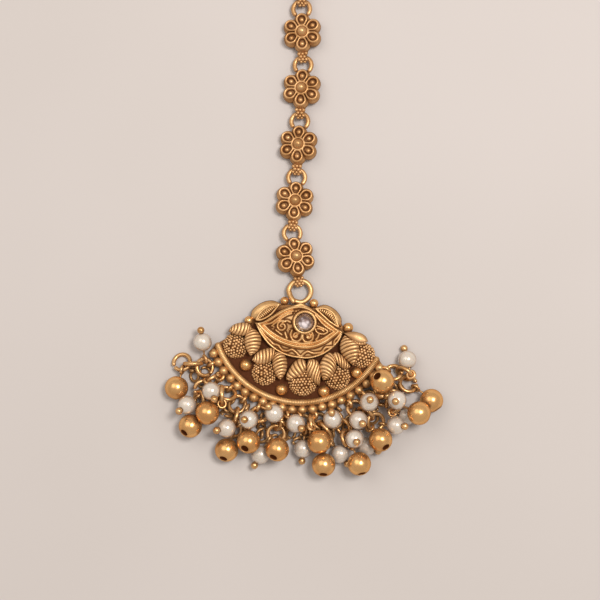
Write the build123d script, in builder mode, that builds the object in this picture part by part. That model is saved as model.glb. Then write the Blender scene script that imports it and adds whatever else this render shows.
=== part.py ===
from build123d import *
import os
from math import asin, cos, degrees, radians, sin, sqrt

import numpy as np

# A maang tikka lying flat: a chain of flower links with a hair hook at its far end, a half-moon
# pendant, and a fringe of gold balls and pearls on linked jump rings. Millimetres.
# +Y runs from the fringe to the hook, +Z out of the ornament's front, and z = 0 is the surface
# it lies on. Everything is drawn about the centre of the pendant's rim, then moved so that the
# origin is under the middle of the whole.

# Pendant
RIM_R, RIM_WIRE, RIM_HALF_ANGLE = 14.7, 0.55, 66.5
PLATE_THICK, FLANGE_OUTER, ROOT_Z = 1.2, 16.3, 0.7
RIM_Z = 1.65
BORDER_R, BORDER_BEAD, BORDER_Z, BORDER_PITCH = 15.85, 0.66, 1.5, 6.1
BERRY_R = 2.3
LEAF_HEIGHT, SIDE_LEAF_HEIGHT, PLAQUE_HEIGHT, PLAQUE_FIELD = 1.5, 1.2, 1.6, 0.35
SEAT_Z, STONE_GAP, STONE_TALL = PLATE_THICK + PLAQUE_HEIGHT, 0.05, 1.6
BEZEL_R, BEZEL_HEIGHT, STONE_AT, STONE_R = 1.95, 2.5, (0.8, -1.2), 1.48
TOP_RING_AT, TOP_RING_R, TOP_RING_WIRE, TOP_RING_Z = (-0.45, 3.85), 1.8, 0.35, 1.02

# Chain of flower links
PETAL_R, PETAL_AT, PETALS, FLOWER_THICK = 1.35, 2.0, 6, 1.9
CUP_R, CUP_DEPTH, SEED_R, BOSS_R, BOSS_RISE = 0.85, 0.7, 0.45, 1.0, 0.35
LINK_RING_R, LINK_WIRE, LINK_RING_AT, LINK_RING_Z = 1.45, 0.27, 3.95, 1.25
TAB_R, TAB_WIRE, TAB_AT = 0.68, 0.24, 3.9
GRAIN_R, GRAIN_AT, GRAIN_PITCH = 0.36, 0.86, 0.45
LINK_TILT = 8.0
HOOK_WIRE, HOOK_SHANK, HOOK_BEND, HOOK_RETURN, HOOK_END = 0.45, 9.7, 2.0, 5.5, 0.7

# Fringe
RING_R, WIRE = 1.4, 0.23
EYE_R, PIN, SHANK = 0.64, 0.2, 0.155
BALL_R, BALL_WALL, BALL_HOLE, BALL_MOUTH = 1.95, 0.35, 0.65, 0.55
PEARL_R, PEARL_HOLE, HEAD_R, BALL_HEAD_R = 1.55, 0.38, 0.6, 0.5
HEAD_AT, TIP_AT = 2.05, 0.75
EYELET_AT, EYELET_Z = 17.0, 1.1
LINK_GAP = 0.35
SLACK = 0.04  # wire is made this much thinner than it is laid, so that nothing touches

# strand: angle of its eyelet along the rim, then for each jump ring the point where the next
# piece hangs on it (x, y, z) and the lean of its plane from upright
STRANDS = {
    "01": (-56.0, [(-16.6, -9.3, 1.3, 75), (-17.6, -10.2, 1.5, 25), (-18.7, -11.3, 1.2, -75)]),
    "02": (-47.5, [(-14.6, -12.7, 1.5, -60), (-15.8, -14.6, 1.4, -10), (-15.4, -17.0, 1.2, 60)]),
    "03": (-38.5, [(-11.6, -14.9, 1.8, 40), (-11.9, -15.7, 3.6, -40)]),
    "04": (-29.0, [(-9.0, -16.9, 1.4, -75), (-9.6, -18.9, 1.4, 10), (-9.6, -20.8, 1.2, 70)]),
    "05": (-19.5, [(-6.0, -17.6, 1.4, 60), (-6.2, -19.3, 1.8, -30)]),
    "06": (-9.0, [(-1.9, -18.5, 1.4, 30), (-1.3, -20.1, 1.8, -50)]),
    "07": (3.5, [(2.3, -18.6, 1.5, -60), (3.9, -18.3, 2.8, 30)]),
    "08": (12.5, [(4.9, -18.3, 1.4, 60), (6.3, -19.8, 1.5, 0), (5.9, -21.7, 1.8, -70)]),
    "09": (22.5, [(8.2, -17.3, 1.4, -30), (9.4, -19.0, 1.4, 60), (10.8, -21.0, 1.8, -30)]),
    "10": (33.5, [(11.4, -15.0, 1.4, 60), (12.7, -16.2, 1.8, 0), (13.5, -17.4, 2.6, 60)]),
    "11": (42.5, [(13.8, -13.4, 1.4, -40), (16.0, -14.1, 1.6, 30), (18.3, -13.6, 2.6, -60)]),
    "12": (52.0, [(14.9, -11.4, 2.2, 40), (16.4, -11.5, 3.4, 0)]),
    "13": (62.0, [(17.2, -7.6, 1.4, -60), (18.7, -9.4, 1.4, 50), (20.0, -11.0, 1.4, 0)]),
}
# gold ball of each strand: centre, then the way its open hole faces (azimuth, elevation)
BALLS = {
    "01": (-19.6, -13.7, 2.4, 251, -10),
    "02": (-15.75, -19.75, 2.2, 232, 36),
    "03": (-13.7, -17.1, 4.3, 215, -6),
    "04": (-10.1, -23.45, 2.2, 255, 35),
    "05": (-6.55, -21.9, 3.8, 245, 48),
    "06": (-2.0, -22.65, 3.9, 246, 40),
    "07": (4.6, -20.6, 4.3, 295, -10),
    "08": (6.0, -24.45, 3.6, 272, 30),
    "09": (11.7, -23.6, 3.7, 289, 23),
    "10": (15.05, -19.45, 4.2, 312, 38),
    "11": (20.9, -14.1, 4.3, 345, -4),
    "12": (14.4, -9.7, 4.4, 140, 42),
    "13": (22.7, -11.9, 2.1, 310, 12),
}
# pearl: its strand, the jump ring that it hangs on, the side of that ring, and its centre;
# the lone pearl hangs straight from an eyelet at the given angle
PEARLS = {
    "01": ("01", 0, (-15.4, -8.0, 1.4), (-15.85, -6.0, 2.2)),
    "02": ("02", 0, (-15.4, -12.2, 2.5), (-13.7, -13.8, 3.5)),
    "03": ("02", 1, (-15.5, -15.6, 1.2), (-17.7, -16.55, 1.8)),
    "04": ("04", 2, (-8.6, -18.8, 1.2), (-10.55, -19.75, 3.0)),
    "05": ("05", 0, (-6.6, -16.6, 2.4), (-7.0, -18.0, 4.0)),
    "06": ("06", 0, (-0.6, -18.0, 2.2), (-2.7, -16.5, 3.8)),
    "07": (None, -3.2, None, (1.0, -17.8, 3.0)),
    "08": ("09", 0, (7.9, -15.6, 2.0), (6.75, -16.8, 3.8)),
    "09": ("10", 0, (11.4, -14.5, 2.5), (11.05, -16.65, 3.8)),
    "10": ("11", 0, (14.1, -13.3, 1.4), (12.5, -13.4, 3.9)),
    "11": ("11", 2, (16.9, -13.3, 2.2), (16.8, -12.25, 4.5)),
    "12": ("13", 1, (18.8, -8.1, 1.4), (18.65, -6.0, 2.0)),
    "13": ("09", 2, (11.0, -18.7, 1.4), (10.15, -20.15, 3.6)),
    "14": ("08", 2, (7.2, -20.8, 1.2), (8.25, -22.7, 1.6)),
    "15": ("07", 0, (2.0, -20.8, 1.2), (2.4, -23.25, 1.8)),
    "16": ("06", 1, (-3.6, -21.3, 1.2), (-4.5, -23.6, 1.6)),
    "17": ("09", 2, (11.0, -19.9, 1.2), (12.7, -20.9, 1.6)),
    "18": ("10", 2, (15.4, -15.9, 2.0), (17.3, -16.9, 3.4)),
    "19": ("11", 2, (17.1, -14.6, 1.2), (19.2, -15.2, 1.6)),
}
SEED, SETTLE_MOVES, CLEARANCE = 8, 9000, 0.08

UP = np.array([0.0, 0.0, 1.0])


def unit(v):
    return v / sqrt(v @ v)


def on_rim(radius, degrees, z=0.0):
    """A point at an angle along the rim, 0 being the middle of the fringe."""
    return np.array([radius * sin(radians(degrees)), -radius * cos(radians(degrees)), z])


def across(v, normal):
    """What is left of v square to a unit vector, and how long it is."""
    rest = v - normal * (v @ normal)
    length = sqrt(rest @ rest)
    return rest / max(length, 1e-9), length


# ------------------------------------------------------------------ how the fringe lies
# A strand's links, leans and beads are the free values. Its solids follow from them: each jump
# ring passes through the link points at its two ends, each pin's eye loop goes round a ring.

class Strand:
    def __init__(self, name, angle, links):
        self.name, self.angle = name, angle
        self.eyelet = on_rim(EYELET_AT, angle, EYELET_Z)
        self.links = np.array([row[:3] for row in links], float).reshape(-1, 3)
        self.leans = np.array([row[3] for row in links], float)
        self.beads, self.hooks, self.holes, self.wanted = {}, {}, {}, {}

    def values(self):
        return [self.links, self.leans] + list(self.beads.values()) + list(self.hooks.values())

    def add_bead(self, name, centre, ring, hook=None, hole=None):
        self.beads[name] = np.array(centre, float)
        self.wanted[name] = (self.beads[name].copy(), ring)
        self.hooks[name] = np.array(hook if hook else (0, 0, 0), float)
        self.holes[name] = hole


def lay_ring(start, end, lean):
    """Centre and normal of the jump ring through two points, its plane leaning from upright."""
    half = (end - start) / 2
    along = unit(half)
    upright, _ = across(UP, along)
    side = upright * cos(radians(lean)) + np.cross(upright, along) * sin(radians(lean))
    room = RING_R**2 - half @ half
    return start + half + side * sqrt(max(room, 0.0)), np.cross(along, side), max(-room, 0.0)


def lay_strand(strand):
    """The strand's rings, eyelet and pins as placed shapes, and how badly they are bent."""
    stops = [strand.eyelet] + list(strand.links)
    rings, strain = [], 0.0
    for i, lean in enumerate(strand.leans):
        start, end = stops[i], stops[i + 1]
        along = unit(end - start)
        start = start - along * LINK_GAP * (i > 0)
        end = end + along * LINK_GAP * (i < len(strand.leans) - 1)
        centre, normal, stretch = lay_ring(start, end, lean)
        rings.append((centre, normal))
        strain += 20 * stretch
        if i:
            strain += 4 * max(abs(normal @ rings[i - 1][1]) - 0.5, 0.0)**2
    outward = on_rim(1, strand.angle)
    if rings:
        normal, lie = across(np.cross(rings[0][1], unit(strand.eyelet - rings[0][0])), outward)
        strain += 10 * max(0.6 - lie, 0.0)**2
    else:
        normal = unit(np.cross(outward, UP) + 0.6 * UP)
    pins = {}
    for name, bead in strand.beads.items():
        first, ring = strand.wanted[name]
        if ring is None:
            along = unit(bead - strand.eyelet)
            eye, tangent = strand.eyelet + along * EYE_R, np.cross(normal, along)
        else:
            centre, facing = rings[ring]
            hook = strand.links[-1] if strand.holes[name] is not None else strand.hooks[name]
            eye = centre + RING_R * across(hook - centre, facing)[0]
            tangent = np.cross(facing, unit(eye - centre))
        gold = strand.holes[name] is not None
        reach = EYE_R + PIN + (BALL_R if gold else PEARL_R) + 0.04
        far = sqrt((bead - eye) @ (bead - eye))
        head = bead - strand.holes[name] * TIP_AT if gold else bead + (bead - eye) / far * HEAD_AT
        along = unit(head - eye)
        facing, lie = across(tangent, along)
        strain += 10 * max(0.55 - lie, 0.0)**2 + 20 * max(reach - far, 0.0)**2
        strain += 4 * max(far - reach - 0.6, 0.0)**2
        if gold:
            mouth = bead - strand.holes[name] * (BALL_R - 0.1)
            strain += 15 * max(across(mouth - eye, along)[1] - 0.35, 0.0)**2
        moved = bead - first
        strain += 0.5 * (moved[0]**2 + moved[1]**2) + 0.03 * moved[2]**2
        pins[name] = (eye, facing, head)
    return rings, (strand.eyelet, normal), pins, strain


def circle(centre, normal, radius, count):
    first = unit(np.cross(normal, (0.31, 0.52, 0.79)))
    turn = np.linspace(0, 2 * np.pi, count, endpoint=False)[:, None]
    return centre + radius * (np.cos(turn) * first + np.sin(turn) * np.cross(normal, first))


class Outline:
    """Points with a radius and an owner: two owners clash where their points come too near."""

    def __init__(self, strain=0.0):
        self.points, self.owners, self.radii, self.strain = [], [], [], strain

    def add(self, owner, points, radius):
        points = np.atleast_2d(points)
        self.points.append(points)
        self.owners += [owner] * len(points)
        self.radii += [radius] * len(points)
        self.strain += 20 * max(radius - points[:, 2].min(), 0.0)**2

    def close(self):
        self.points = np.vstack(self.points)
        self.owners, self.radii = np.array(self.owners), np.array(self.radii)
        return self


OWNER = {"rim": 1}


def number(name):
    return OWNER.setdefault(name, len(OWNER) + 1)


def outline(strand):
    rings, eyelet, pins, strain = lay_strand(strand)
    shape = Outline(strain)
    for i, (centre, normal) in enumerate(rings):
        shape.add(number(f"ring {strand.name} {i}"), circle(centre, normal, RING_R, 24), WIRE)
    shape.add(number("rim"), circle(*eyelet, EYE_R, 12), WIRE)
    for name, (eye, facing, head) in pins.items():
        gold = strand.holes[name] is not None
        steps = np.arange(EYE_R, sqrt((head - eye) @ (head - eye)), 0.25)[:, None]
        pin = number(f"pin {name}")
        shape.add(pin, circle(eye, facing, EYE_R, 12), PIN)
        shape.add(pin, eye + steps * unit(head - eye), PIN)
        shape.add(pin, head, BALL_HEAD_R if gold else HEAD_R)
        shape.add(-pin, strand.beads[name], BALL_R if gold else PEARL_R)
    return shape.close()


def pendant_outline():
    shape = Outline()
    for i in range(-10, 11):
        shape.add(number("rim"), on_rim(BORDER_R, i * BORDER_PITCH, BORDER_Z), BORDER_BEAD)
    for angle in np.arange(-66, 67, 1.5):
        shape.add(number("rim"), on_rim(RIM_R, angle, RIM_Z), RIM_WIRE)
        for radius in (15.2, 15.9):
            shape.add(number("rim"), on_rim(radius, angle, 0.8), 0.4)
            shape.add(number("rim"), on_rim(radius, angle, 0.4), 0.4)
    return shape.close()


def crowding(shape, points, owners, radii):
    """How far a shape comes inside its clearance, summed over the pairs of owners."""
    low, high = shape.points.min(0) - 2.2, shape.points.max(0) + 2.2
    near = ((points > low) & (points < high)).all(1)
    points, owners, radii = points[near], owners[near], radii[near]
    apart = (shape.points**2).sum(1)[:, None] + (points**2).sum(1) - 2 * shape.points @ points.T
    reach = shape.radii[:, None] + radii + CLEARANCE
    mine = shape.owners[:, None]
    rows, columns = np.nonzero((apart < reach**2) & (mine != owners) & (mine != -owners))
    worst = {}
    for i, j in zip(rows, columns):
        pair = (shape.owners[i], owners[j])
        depth = reach[i, j] - sqrt(max(apart[i, j], 0.0))
        worst[pair] = max(worst.get(pair, 0.0), depth)
    return sum(14 * depth**2 + depth for depth in worst.values())


def settle(strands, rest):
    """Nudges the links, leans and beads at random and keeps each nudge that eases the heap."""
    dice = np.random.default_rng(SEED)
    names = list(strands)
    shapes = {name: outline(strand) for name, strand in strands.items()}

    def trouble(name, shape):
        heap = [shapes[other] for other in names if other != name] + [shape, rest]
        return shape.strain + crowding(shape, np.vstack([one.points for one in heap]),
                                       np.concatenate([one.owners for one in heap]),
                                       np.concatenate([one.radii for one in heap]))

    costs = np.array([trouble(name, shapes[name]) for name in names])
    for move in range(SETTLE_MOVES):
        if move % 300 == 0:
            costs = np.array([trouble(name, shapes[name]) for name in names])
        size = 0.05 + 0.55 * (1 - move / SETTLE_MOVES)
        turn = dice.choice(len(names), p=(costs + 0.02) / (costs + 0.02).sum())
        name, strand = names[turn], strands[names[turn]]
        values = [value for value in strand.values() if len(value)]
        value = values[dice.integers(len(values))]
        kept = value.copy()
        if value is strand.leans:
            value[dice.integers(len(value))] += dice.normal(0, 60 * size)
        elif value is strand.links:
            value[dice.integers(len(value))] += dice.normal(0, size / 2, 3)
        elif any(value is bead for bead in strand.beads.values()):
            value += dice.normal(0, size / 4, 3) * (1, 1, 2.5)
        else:
            value += dice.normal(0, size, 3)
        before = trouble(name, shapes[name])
        shape = outline(strand)
        after = trouble(name, shape)
        if after < before:
            shapes[name], costs[turn] = shape, after
        else:
            value[:] = kept
    print(f"fringe settled, {sum(trouble(name, shapes[name]) for name in names):.2f} left")


def strung():
    strands = {name: Strand(name, *row) for name, row in STRANDS.items()}
    for name, (x, y, z, azimuth, rise) in BALLS.items():
        hole = np.array([cos(radians(azimuth)) * cos(radians(rise)),
                         sin(radians(azimuth)) * cos(radians(rise)), sin(radians(rise))])
        strands[name].add_bead(f"gold_ball_{name}", (x, y, z), len(strands[name].leans) - 1, hole=hole)
    for name, (owner, ring, hook, centre) in PEARLS.items():
        if owner is None:
            strands["lone"] = Strand("lone", ring, [])
            strands["lone"].add_bead(f"pearl_{name}", centre, None)
        else:
            strands[owner].add_bead(f"pearl_{name}", centre, ring, hook)
    settle(strands, pendant_outline())
    return strands


# ------------------------------------------------------------------------- solids

def plane_at(centre, normal):
    return Plane(origin=tuple(float(v) for v in centre), z_dir=tuple(float(v) for v in normal))


def between(start, end):
    """Plane at the middle of a run, facing along it, and the run's length."""
    run = np.array(end) - np.array(start)
    return plane_at((np.array(start) + np.array(end)) / 2, unit(run)), float(sqrt(run @ run))


def make_pin(eye, facing, head, head_r):
    """Eye loop, straight shank and ball head of a wire pin."""
    along = unit(head - eye)
    shank, length = between(eye + along * EYE_R, head)
    with BuildPart() as pin:
        with Locations(plane_at(eye, facing)):
            Torus(EYE_R, PIN - SLACK)
        with Locations(shank):
            Cylinder(SHANK, length)
        with Locations(Plane(origin=tuple(head), x_dir=tuple(along), z_dir=tuple(facing))):
            Sphere(head_r)
    return pin.part


def make_ring(centre, normal):
    with BuildPart() as ring:
        with Locations(plane_at(centre, normal)):
            Torus(RING_R, WIRE - SLACK)
    return ring.part


def make_wires(strand):
    """The loose jump rings and pins of one strand."""
    rings, _, pins, _ = lay_strand(strand)
    pieces = [make_ring(*ring) for ring in rings]
    for name, (eye, facing, head) in pins.items():
        pieces.append(make_pin(eye, facing, head, HEAD_R if strand.holes[name] is None else BALL_HEAD_R))
    return Compound([piece.solids()[0] for piece in pieces])


def make_gold_ball(centre, hole, pin):
    """A hollow ball with an open hole at its far end and a mouth where its pin goes in."""
    with BuildPart() as ball:
        with Locations(plane_at(centre, hole)):
            Sphere(BALL_R)
            Sphere(BALL_R - BALL_WALL, mode=Mode.SUBTRACT)
        for way, radius in ((hole, BALL_HOLE), (-pin, BALL_MOUTH)):
            with Locations(plane_at(centre, way)):
                Cylinder(radius, BALL_R, align=(Align.CENTER, Align.CENTER, Align.MIN), mode=Mode.SUBTRACT)
    return ball.part


def make_pearl(centre, pin):
    with BuildPart() as pearl:
        with Locations(plane_at(centre, pin)):
            Sphere(PEARL_R)
            Cylinder(PEARL_HOLE, 2 * PEARL_R, mode=Mode.SUBTRACT)
    return pearl.part


def lens(tip, other, bulge_left, bulge_right):
    """A pointed leaf between two tips, from how far each side bulges."""
    (x0, y0), (x1, y1) = tip, other
    length = sqrt((x1 - x0)**2 + (y1 - y0)**2)
    middle, square = ((x0 + x1) / 2, (y0 + y1) / 2), ((y0 - y1) / length, (x1 - x0) / length)
    left = (middle[0] + square[0] * bulge_left, middle[1] + square[1] * bulge_left)
    right = (middle[0] - square[0] * bulge_right, middle[1] - square[1] * bulge_right)
    with BuildSketch() as leaf:
        with BuildLine():
            ThreePointArc(tip, right, other)
            ThreePointArc(other, left, tip)
        make_face()
    return leaf.sketch


# outline of the back plate above the rim, from the rim's right end to its left end
CROWN = [(13.3, -5.95), (12.6, -5.6), (11.9, -4.3), (10.6, -3.2), (8.9, -2.5), (7.7, -1.8), (6.6, -0.5),
         (5.6, 0.6), (4.2, 1.2), (2.2, 1.5), (0.0, 1.5), (-2.7, 1.5), (-4.4, 1.2), (-6.3, 0.8), (-7.6, -0.5),
         (-8.3, -1.9), (-9.6, -2.9), (-11.0, -3.6), (-12.0, -5.0), (-13.3, -5.95)]
# buds: berry centre, then each leaf's tips and its bulge to the left and right
BUDS = [
    ((-10.2, -6.1), [((-11.9, -3.9), (-7.6, -3.2), 0.9, 0.8), ((-7.9, -3.0), (-8.0, -7.5), 1.4, 1.3)]),
    ((-5.1, -10.4), [((-7.2, -8.0), (-3.7, -7.0), 0.7, 1.1), ((-3.8, -7.1), (-2.2, -10.7), 1.2, 1.2)]),
    ((1.3, -11.6), [((0.7, -7.6), (-1.0, -11.0), 1.2, 1.3), ((2.2, -7.8), (3.7, -10.8), 1.2, 1.0)]),
    ((7.2, -10.1), [((4.6, -6.4), (5.6, -10.0), 1.6, 1.4), ((5.3, -5.9), (9.1, -7.8), 1.3, 1.0)]),
    ((11.2, -5.9), [((7.3, -4.2), (9.7, -7.4), 1.6, 1.9), ((8.0, -2.6), (11.5, -3.6), 0.8, 0.9)]),
]
# plain balls on the plate: centre, radius
STUDS = [((-8.4, -9.0), 1.0), ((-2.05, -12.7), 1.0), ((5.0, -12.45), 1.0), ((10.1, -8.8), 0.95),
         ((-8.5, -1.75), 0.75), ((8.1, -1.5), 0.85), ((-2.85, 2.05), 0.7), ((2.05, 2.05), 0.75)]
SIDE_LEAVES = [((-8.2, -1.3), (-3.0, 1.5), 1.5, 1.0), ((2.3, 1.6), (7.1, -1.5), 1.4, 1.0)]
PLAQUE = ((-7.6, -1.95), (7.4, -2.1), 3.95, 5.2)
FIELD = ((-6.2, -2.0), (6.1, -2.3), 2.5, 2.9)
# links of the chain from the pendant up: turn in the plane, roll about the link's length
LINKS = [(14.0, 9.0), (0.5, 2.0), (1.0, -6.0), (1.0, -6.0), (6.0, -5.0), (3.0, 0.0)]


def add_raised(rows, height):
    """Leaf shapes standing on the plate, rooted in it."""
    for row in rows:
        foot = lens(*row).moved(Location((0, 0, ROOT_Z)))
        extrude(foot, amount=PLATE_THICK - ROOT_Z + height)


def add_upright(foot, radius, height, mode=Mode.ADD):
    with Locations(foot):
        Cylinder(radius, height, align=(Align.CENTER, Align.CENTER, Align.MIN), mode=mode)


def make_pendant(strands):
    """Back plate, rim wire, bead border, buds, plaque and loops, soldered into one piece."""
    reach = RIM_HALF_ANGLE - 0.3
    with BuildPart() as pendant:
        with BuildSketch():
            with BuildLine():
                arc = CenterArc((0, 0), FLANGE_OUTER, 270 - reach, 2 * reach)
                Polyline(arc @ 1, *CROWN, arc @ 0)
            make_face()
        extrude(amount=PLATE_THICK)
        add_raised([PLAQUE], PLAQUE_HEIGHT)
        field = lens(*FIELD).moved(Location((0, 0, SEAT_Z - PLAQUE_FIELD)))
        extrude(field, amount=2 * PLAQUE_FIELD, mode=Mode.SUBTRACT)
        add_upright((*STONE_AT, ROOT_Z), BEZEL_R, PLATE_THICK - ROOT_Z + BEZEL_HEIGHT)
        add_upright((*STONE_AT, SEAT_Z), STONE_R + STONE_GAP, BEZEL_HEIGHT, Mode.SUBTRACT)
        for berry, leaves in BUDS:
            add_raised(leaves, LEAF_HEIGHT)
            with Locations((*berry, ROOT_Z)):
                Sphere(BERRY_R, arc_size1=0, align=None)
        add_raised(SIDE_LEAVES, SIDE_LEAF_HEIGHT)
        for centre, radius in STUDS:
            with Locations((*centre, PLATE_THICK + radius / 3)):
                Sphere(radius)
        with Locations((*TOP_RING_AT, TOP_RING_Z)):
            Torus(TOP_RING_R, TOP_RING_WIRE)
        with Locations(Location((0, 0, RIM_Z), (0, 0, 270 - RIM_HALF_ANGLE))):
            Torus(RIM_R, RIM_WIRE, major_angle=2 * RIM_HALF_ANGLE, align=None)
        with Locations(*[tuple(on_rim(RIM_R, side * RIM_HALF_ANGLE, RIM_Z)) for side in (-1, 1)]):
            Sphere(RIM_WIRE)
        with Locations(*[tuple(on_rim(BORDER_R, i * BORDER_PITCH, BORDER_Z)) for i in range(-10, 11)]):
            Sphere(BORDER_BEAD)
        for strand in strands.values():
            with Locations(plane_at(*lay_strand(strand)[1])):
                Torus(EYE_R, WIRE)
    return pendant.part


def make_stone():
    """A domed stone that stands clear of the bezel round it."""
    foot, dome = SEAT_Z + STONE_GAP, STONE_TALL / 2
    dome_r = (STONE_R**2 + dome**2) / (2 * dome)
    with BuildPart() as stone:
        add_upright((*STONE_AT, foot), STONE_R, STONE_TALL)
        with Locations((*STONE_AT, foot + STONE_TALL - dome_r)):
            Sphere(dome_r, mode=Mode.INTERSECT)
    return stone.part


def lay_link(at, turn, roll):
    """Plane of a link that rests on the surface with its tab round the wire at a point, and the
    tab's height in that plane."""
    turned = Plane(Location((0, 0, 0), (0, 0, turn)) * Location((0, 0, 0), (-LINK_TILT, 0, 0))
                   * Location((0, 0, 0), (0, roll, 0)))
    slope = (turned.x_dir.Z, turned.y_dir.Z)
    petals = [(PETAL_AT * cos(radians(60 * k + 30)), PETAL_AT * sin(radians(60 * k + 30))) for k in range(6)]
    low = min(x * slope[0] + y * slope[1] for x, y in petals) - PETAL_R * sqrt(slope[0]**2 + slope[1]**2)
    tab_z = (at.Z + low + TAB_AT * slope[1]) / turned.z_dir.Z
    middle = at + turned.y_dir * TAB_AT - turned.z_dir * tab_z
    return Plane(origin=middle, x_dir=turned.x_dir, z_dir=turned.z_dir), tab_z


def make_link(place, tab_z):
    """A flower of six cups, with the ring it hangs by and the grained tab round the ring before."""
    with BuildPart(place) as link:
        with PolarLocations(PETAL_AT, PETALS, start_angle=90):
            Cylinder(PETAL_R, FLOWER_THICK, align=(Align.CENTER, Align.CENTER, Align.MIN))
        add_upright((0, 0, 0), PETAL_AT, FLOWER_THICK - 0.2)
        with Locations((0, LINK_RING_AT, LINK_RING_Z)):
            Torus(LINK_RING_R, LINK_WIRE)
        with Locations(Plane((0, -TAB_AT, tab_z), z_dir=(1, 0, 0))):
            Torus(TAB_R, TAB_WIRE)
        grains = [(x, -TAB_AT - GRAIN_AT * cos(radians(turn)), tab_z + GRAIN_AT * sin(radians(turn)))
                  for x in (-GRAIN_PITCH, 0.0, GRAIN_PITCH) for turn in (50, 90, 130)]
        with Locations(*grains):
            Sphere(GRAIN_R)
        with PolarLocations(PETAL_AT, PETALS, start_angle=90):
            with Locations((0, 0, FLOWER_THICK)):
                Cylinder(CUP_R, 2 * CUP_DEPTH, mode=Mode.SUBTRACT)
        with PolarLocations(PETAL_AT, PETALS, start_angle=90):
            with Locations((0, 0, FLOWER_THICK - CUP_DEPTH)):
                Sphere(SEED_R)
        add_upright((0, 0, 0), BOSS_R, FLOWER_THICK + BOSS_RISE)
        with Locations((0, 0, FLOWER_THICK + BOSS_RISE)):
            Sphere(BOSS_R * 0.6)
    return link.part


def make_chain():
    """The links from the pendant up, and the point on the last ring where the hook hangs."""
    top = Vector(*TOP_RING_AT, TOP_RING_Z)
    ways = [Vector(-sin(radians(turn)), cos(radians(turn)), 0) for turn, _ in LINKS]
    at, links = top + ways[0] * TOP_RING_R, []
    for i, (turn, roll) in enumerate(LINKS):
        place, tab_z = lay_link(at, turn, roll)
        links.append(make_link(place, tab_z))
        onward = ways[min(i + 1, len(LINKS) - 1)]
        level = (onward - place.z_dir * onward.dot(place.z_dir)).normalized()
        at = place.from_local_coords((0, LINK_RING_AT, LINK_RING_Z)) + level * LINK_RING_R
    return links, at


def make_hook(at):
    """Hair hook: an eye round the last ring, a straight shank and a bend back with a ball end."""
    dip = degrees(asin((at.Z - HOOK_WIRE) / (HOOK_SHANK + HOOK_BEND)))
    lie = Plane(Location(at, (0, 0, LINKS[-1][0])) * Location((0, 0, 0), (-dip, 0, 0)))
    foot, end = TAB_R, HOOK_SHANK - HOOK_RETURN
    with BuildPart(lie) as hook:
        with Locations(Plane((0, 0, 0), z_dir=(1, 0, 0))):
            Torus(TAB_R, TAB_WIRE)
        with BuildLine(lie):
            shank = Line((0, foot), (0, HOOK_SHANK))
            bend = ThreePointArc(shank @ 1, (HOOK_BEND, HOOK_SHANK + HOOK_BEND), (2 * HOOK_BEND, HOOK_SHANK))
            Line(bend @ 1, (2 * HOOK_BEND, end))
        with BuildSketch(Plane(shank @ 0, z_dir=shank % 0)):
            Circle(HOOK_WIRE)
        sweep()
        with Locations((2 * HOOK_BEND, end, 0)):
            Sphere(HOOK_END)
    return hook.part


fringe = strung()
chain, last = make_chain()
made = {"pendant": make_pendant(fringe), "stone": make_stone(), "hair_hook": make_hook(last)}
made.update({f"flower_link_{i + 1}": link for i, link in enumerate(chain)})
for strand in fringe.values():
    made[f"wires_{strand.name}"] = make_wires(strand)
    for name, (eye, _, _) in lay_strand(strand)[2].items():
        centre, hole = strand.beads[name], strand.holes[name]
        pin = unit(centre - eye)
        made[name] = make_pearl(centre, pin) if hole is None else make_gold_ball(centre, hole, pin)

boxes = [piece.bounding_box() for piece in made.values()]
low = [min(box.min.X for box in boxes), min(box.min.Y for box in boxes)]
high = [max(box.max.X for box in boxes), max(box.max.Y for box in boxes)]
to_origin = Location((-(low[0] + high[0]) / 2, -(low[1] + high[1]) / 2, 0))
os.makedirs("parts", exist_ok=True)
for name, piece in made.items():
    placed = piece.moved(to_origin)
    placed.label = name
    export_step(placed, f"parts/{name}.step")
print(len(made), "pieces, low corner", low, "high corner", high)
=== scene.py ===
"""Looks of an antique-gold forehead ornament: flower-link chain, half-moon pendant, ball and pearl fringe.

Sizes are in millimetres about the centre of the pendant's rim, +Y towards the hook, and are put
into the frame's metres only when a piece's mesh is made.
"""

import math

import bmesh
import bpy
import numpy as np
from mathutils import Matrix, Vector
from mathutils.kdtree import KDTree


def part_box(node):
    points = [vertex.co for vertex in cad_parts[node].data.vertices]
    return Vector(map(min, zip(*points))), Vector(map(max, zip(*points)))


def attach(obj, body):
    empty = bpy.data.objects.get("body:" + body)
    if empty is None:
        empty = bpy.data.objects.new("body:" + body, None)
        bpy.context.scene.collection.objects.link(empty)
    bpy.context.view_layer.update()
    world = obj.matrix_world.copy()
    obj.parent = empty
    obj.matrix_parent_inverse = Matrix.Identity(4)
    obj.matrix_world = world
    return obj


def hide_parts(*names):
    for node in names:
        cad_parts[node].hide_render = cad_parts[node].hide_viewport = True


MM = 0.001
UP = np.array([0.0, 0.0, 1.0])
WELD_M = 2e-7
SAW_CUT = 0.07

# Pendant
ROOT_Z, PLATE_TOP, FLANGE_OUTER = 0.7, 1.2, 16.3
LEAF_FOOT = PLATE_TOP - 0.08
RIM_R, RIM_WIRE, RIM_Z, RIM_HALF_ANGLE = 14.7, 0.58, 1.68, 66.5
BORDER_R, BORDER_BEAD, BORDER_Z, BORDER_PITCH = 15.88, 0.76, 1.52, 6.1
STONE_AT, STONE_R, SEAT_Z = (0.8, -1.2), 1.46, 2.85
LOOP_AT, LOOP_R, LOOP_WIRE, LOOP_Z = (-0.45, 3.85), 1.8, 0.43, 1.02
# Chain
PETAL_AT, PETAL_R, PETALS = 2.0, 1.35, 6
LINK_RING_R, LINK_WIRE, LINK_RING_AT, LINK_RING_Z = 1.45, 0.37, 3.95, 1.25
TAB_R, TAB_WIRE, TAB_AT, LINK_TILT = 0.68, 0.24, 3.9, 8.0
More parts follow.
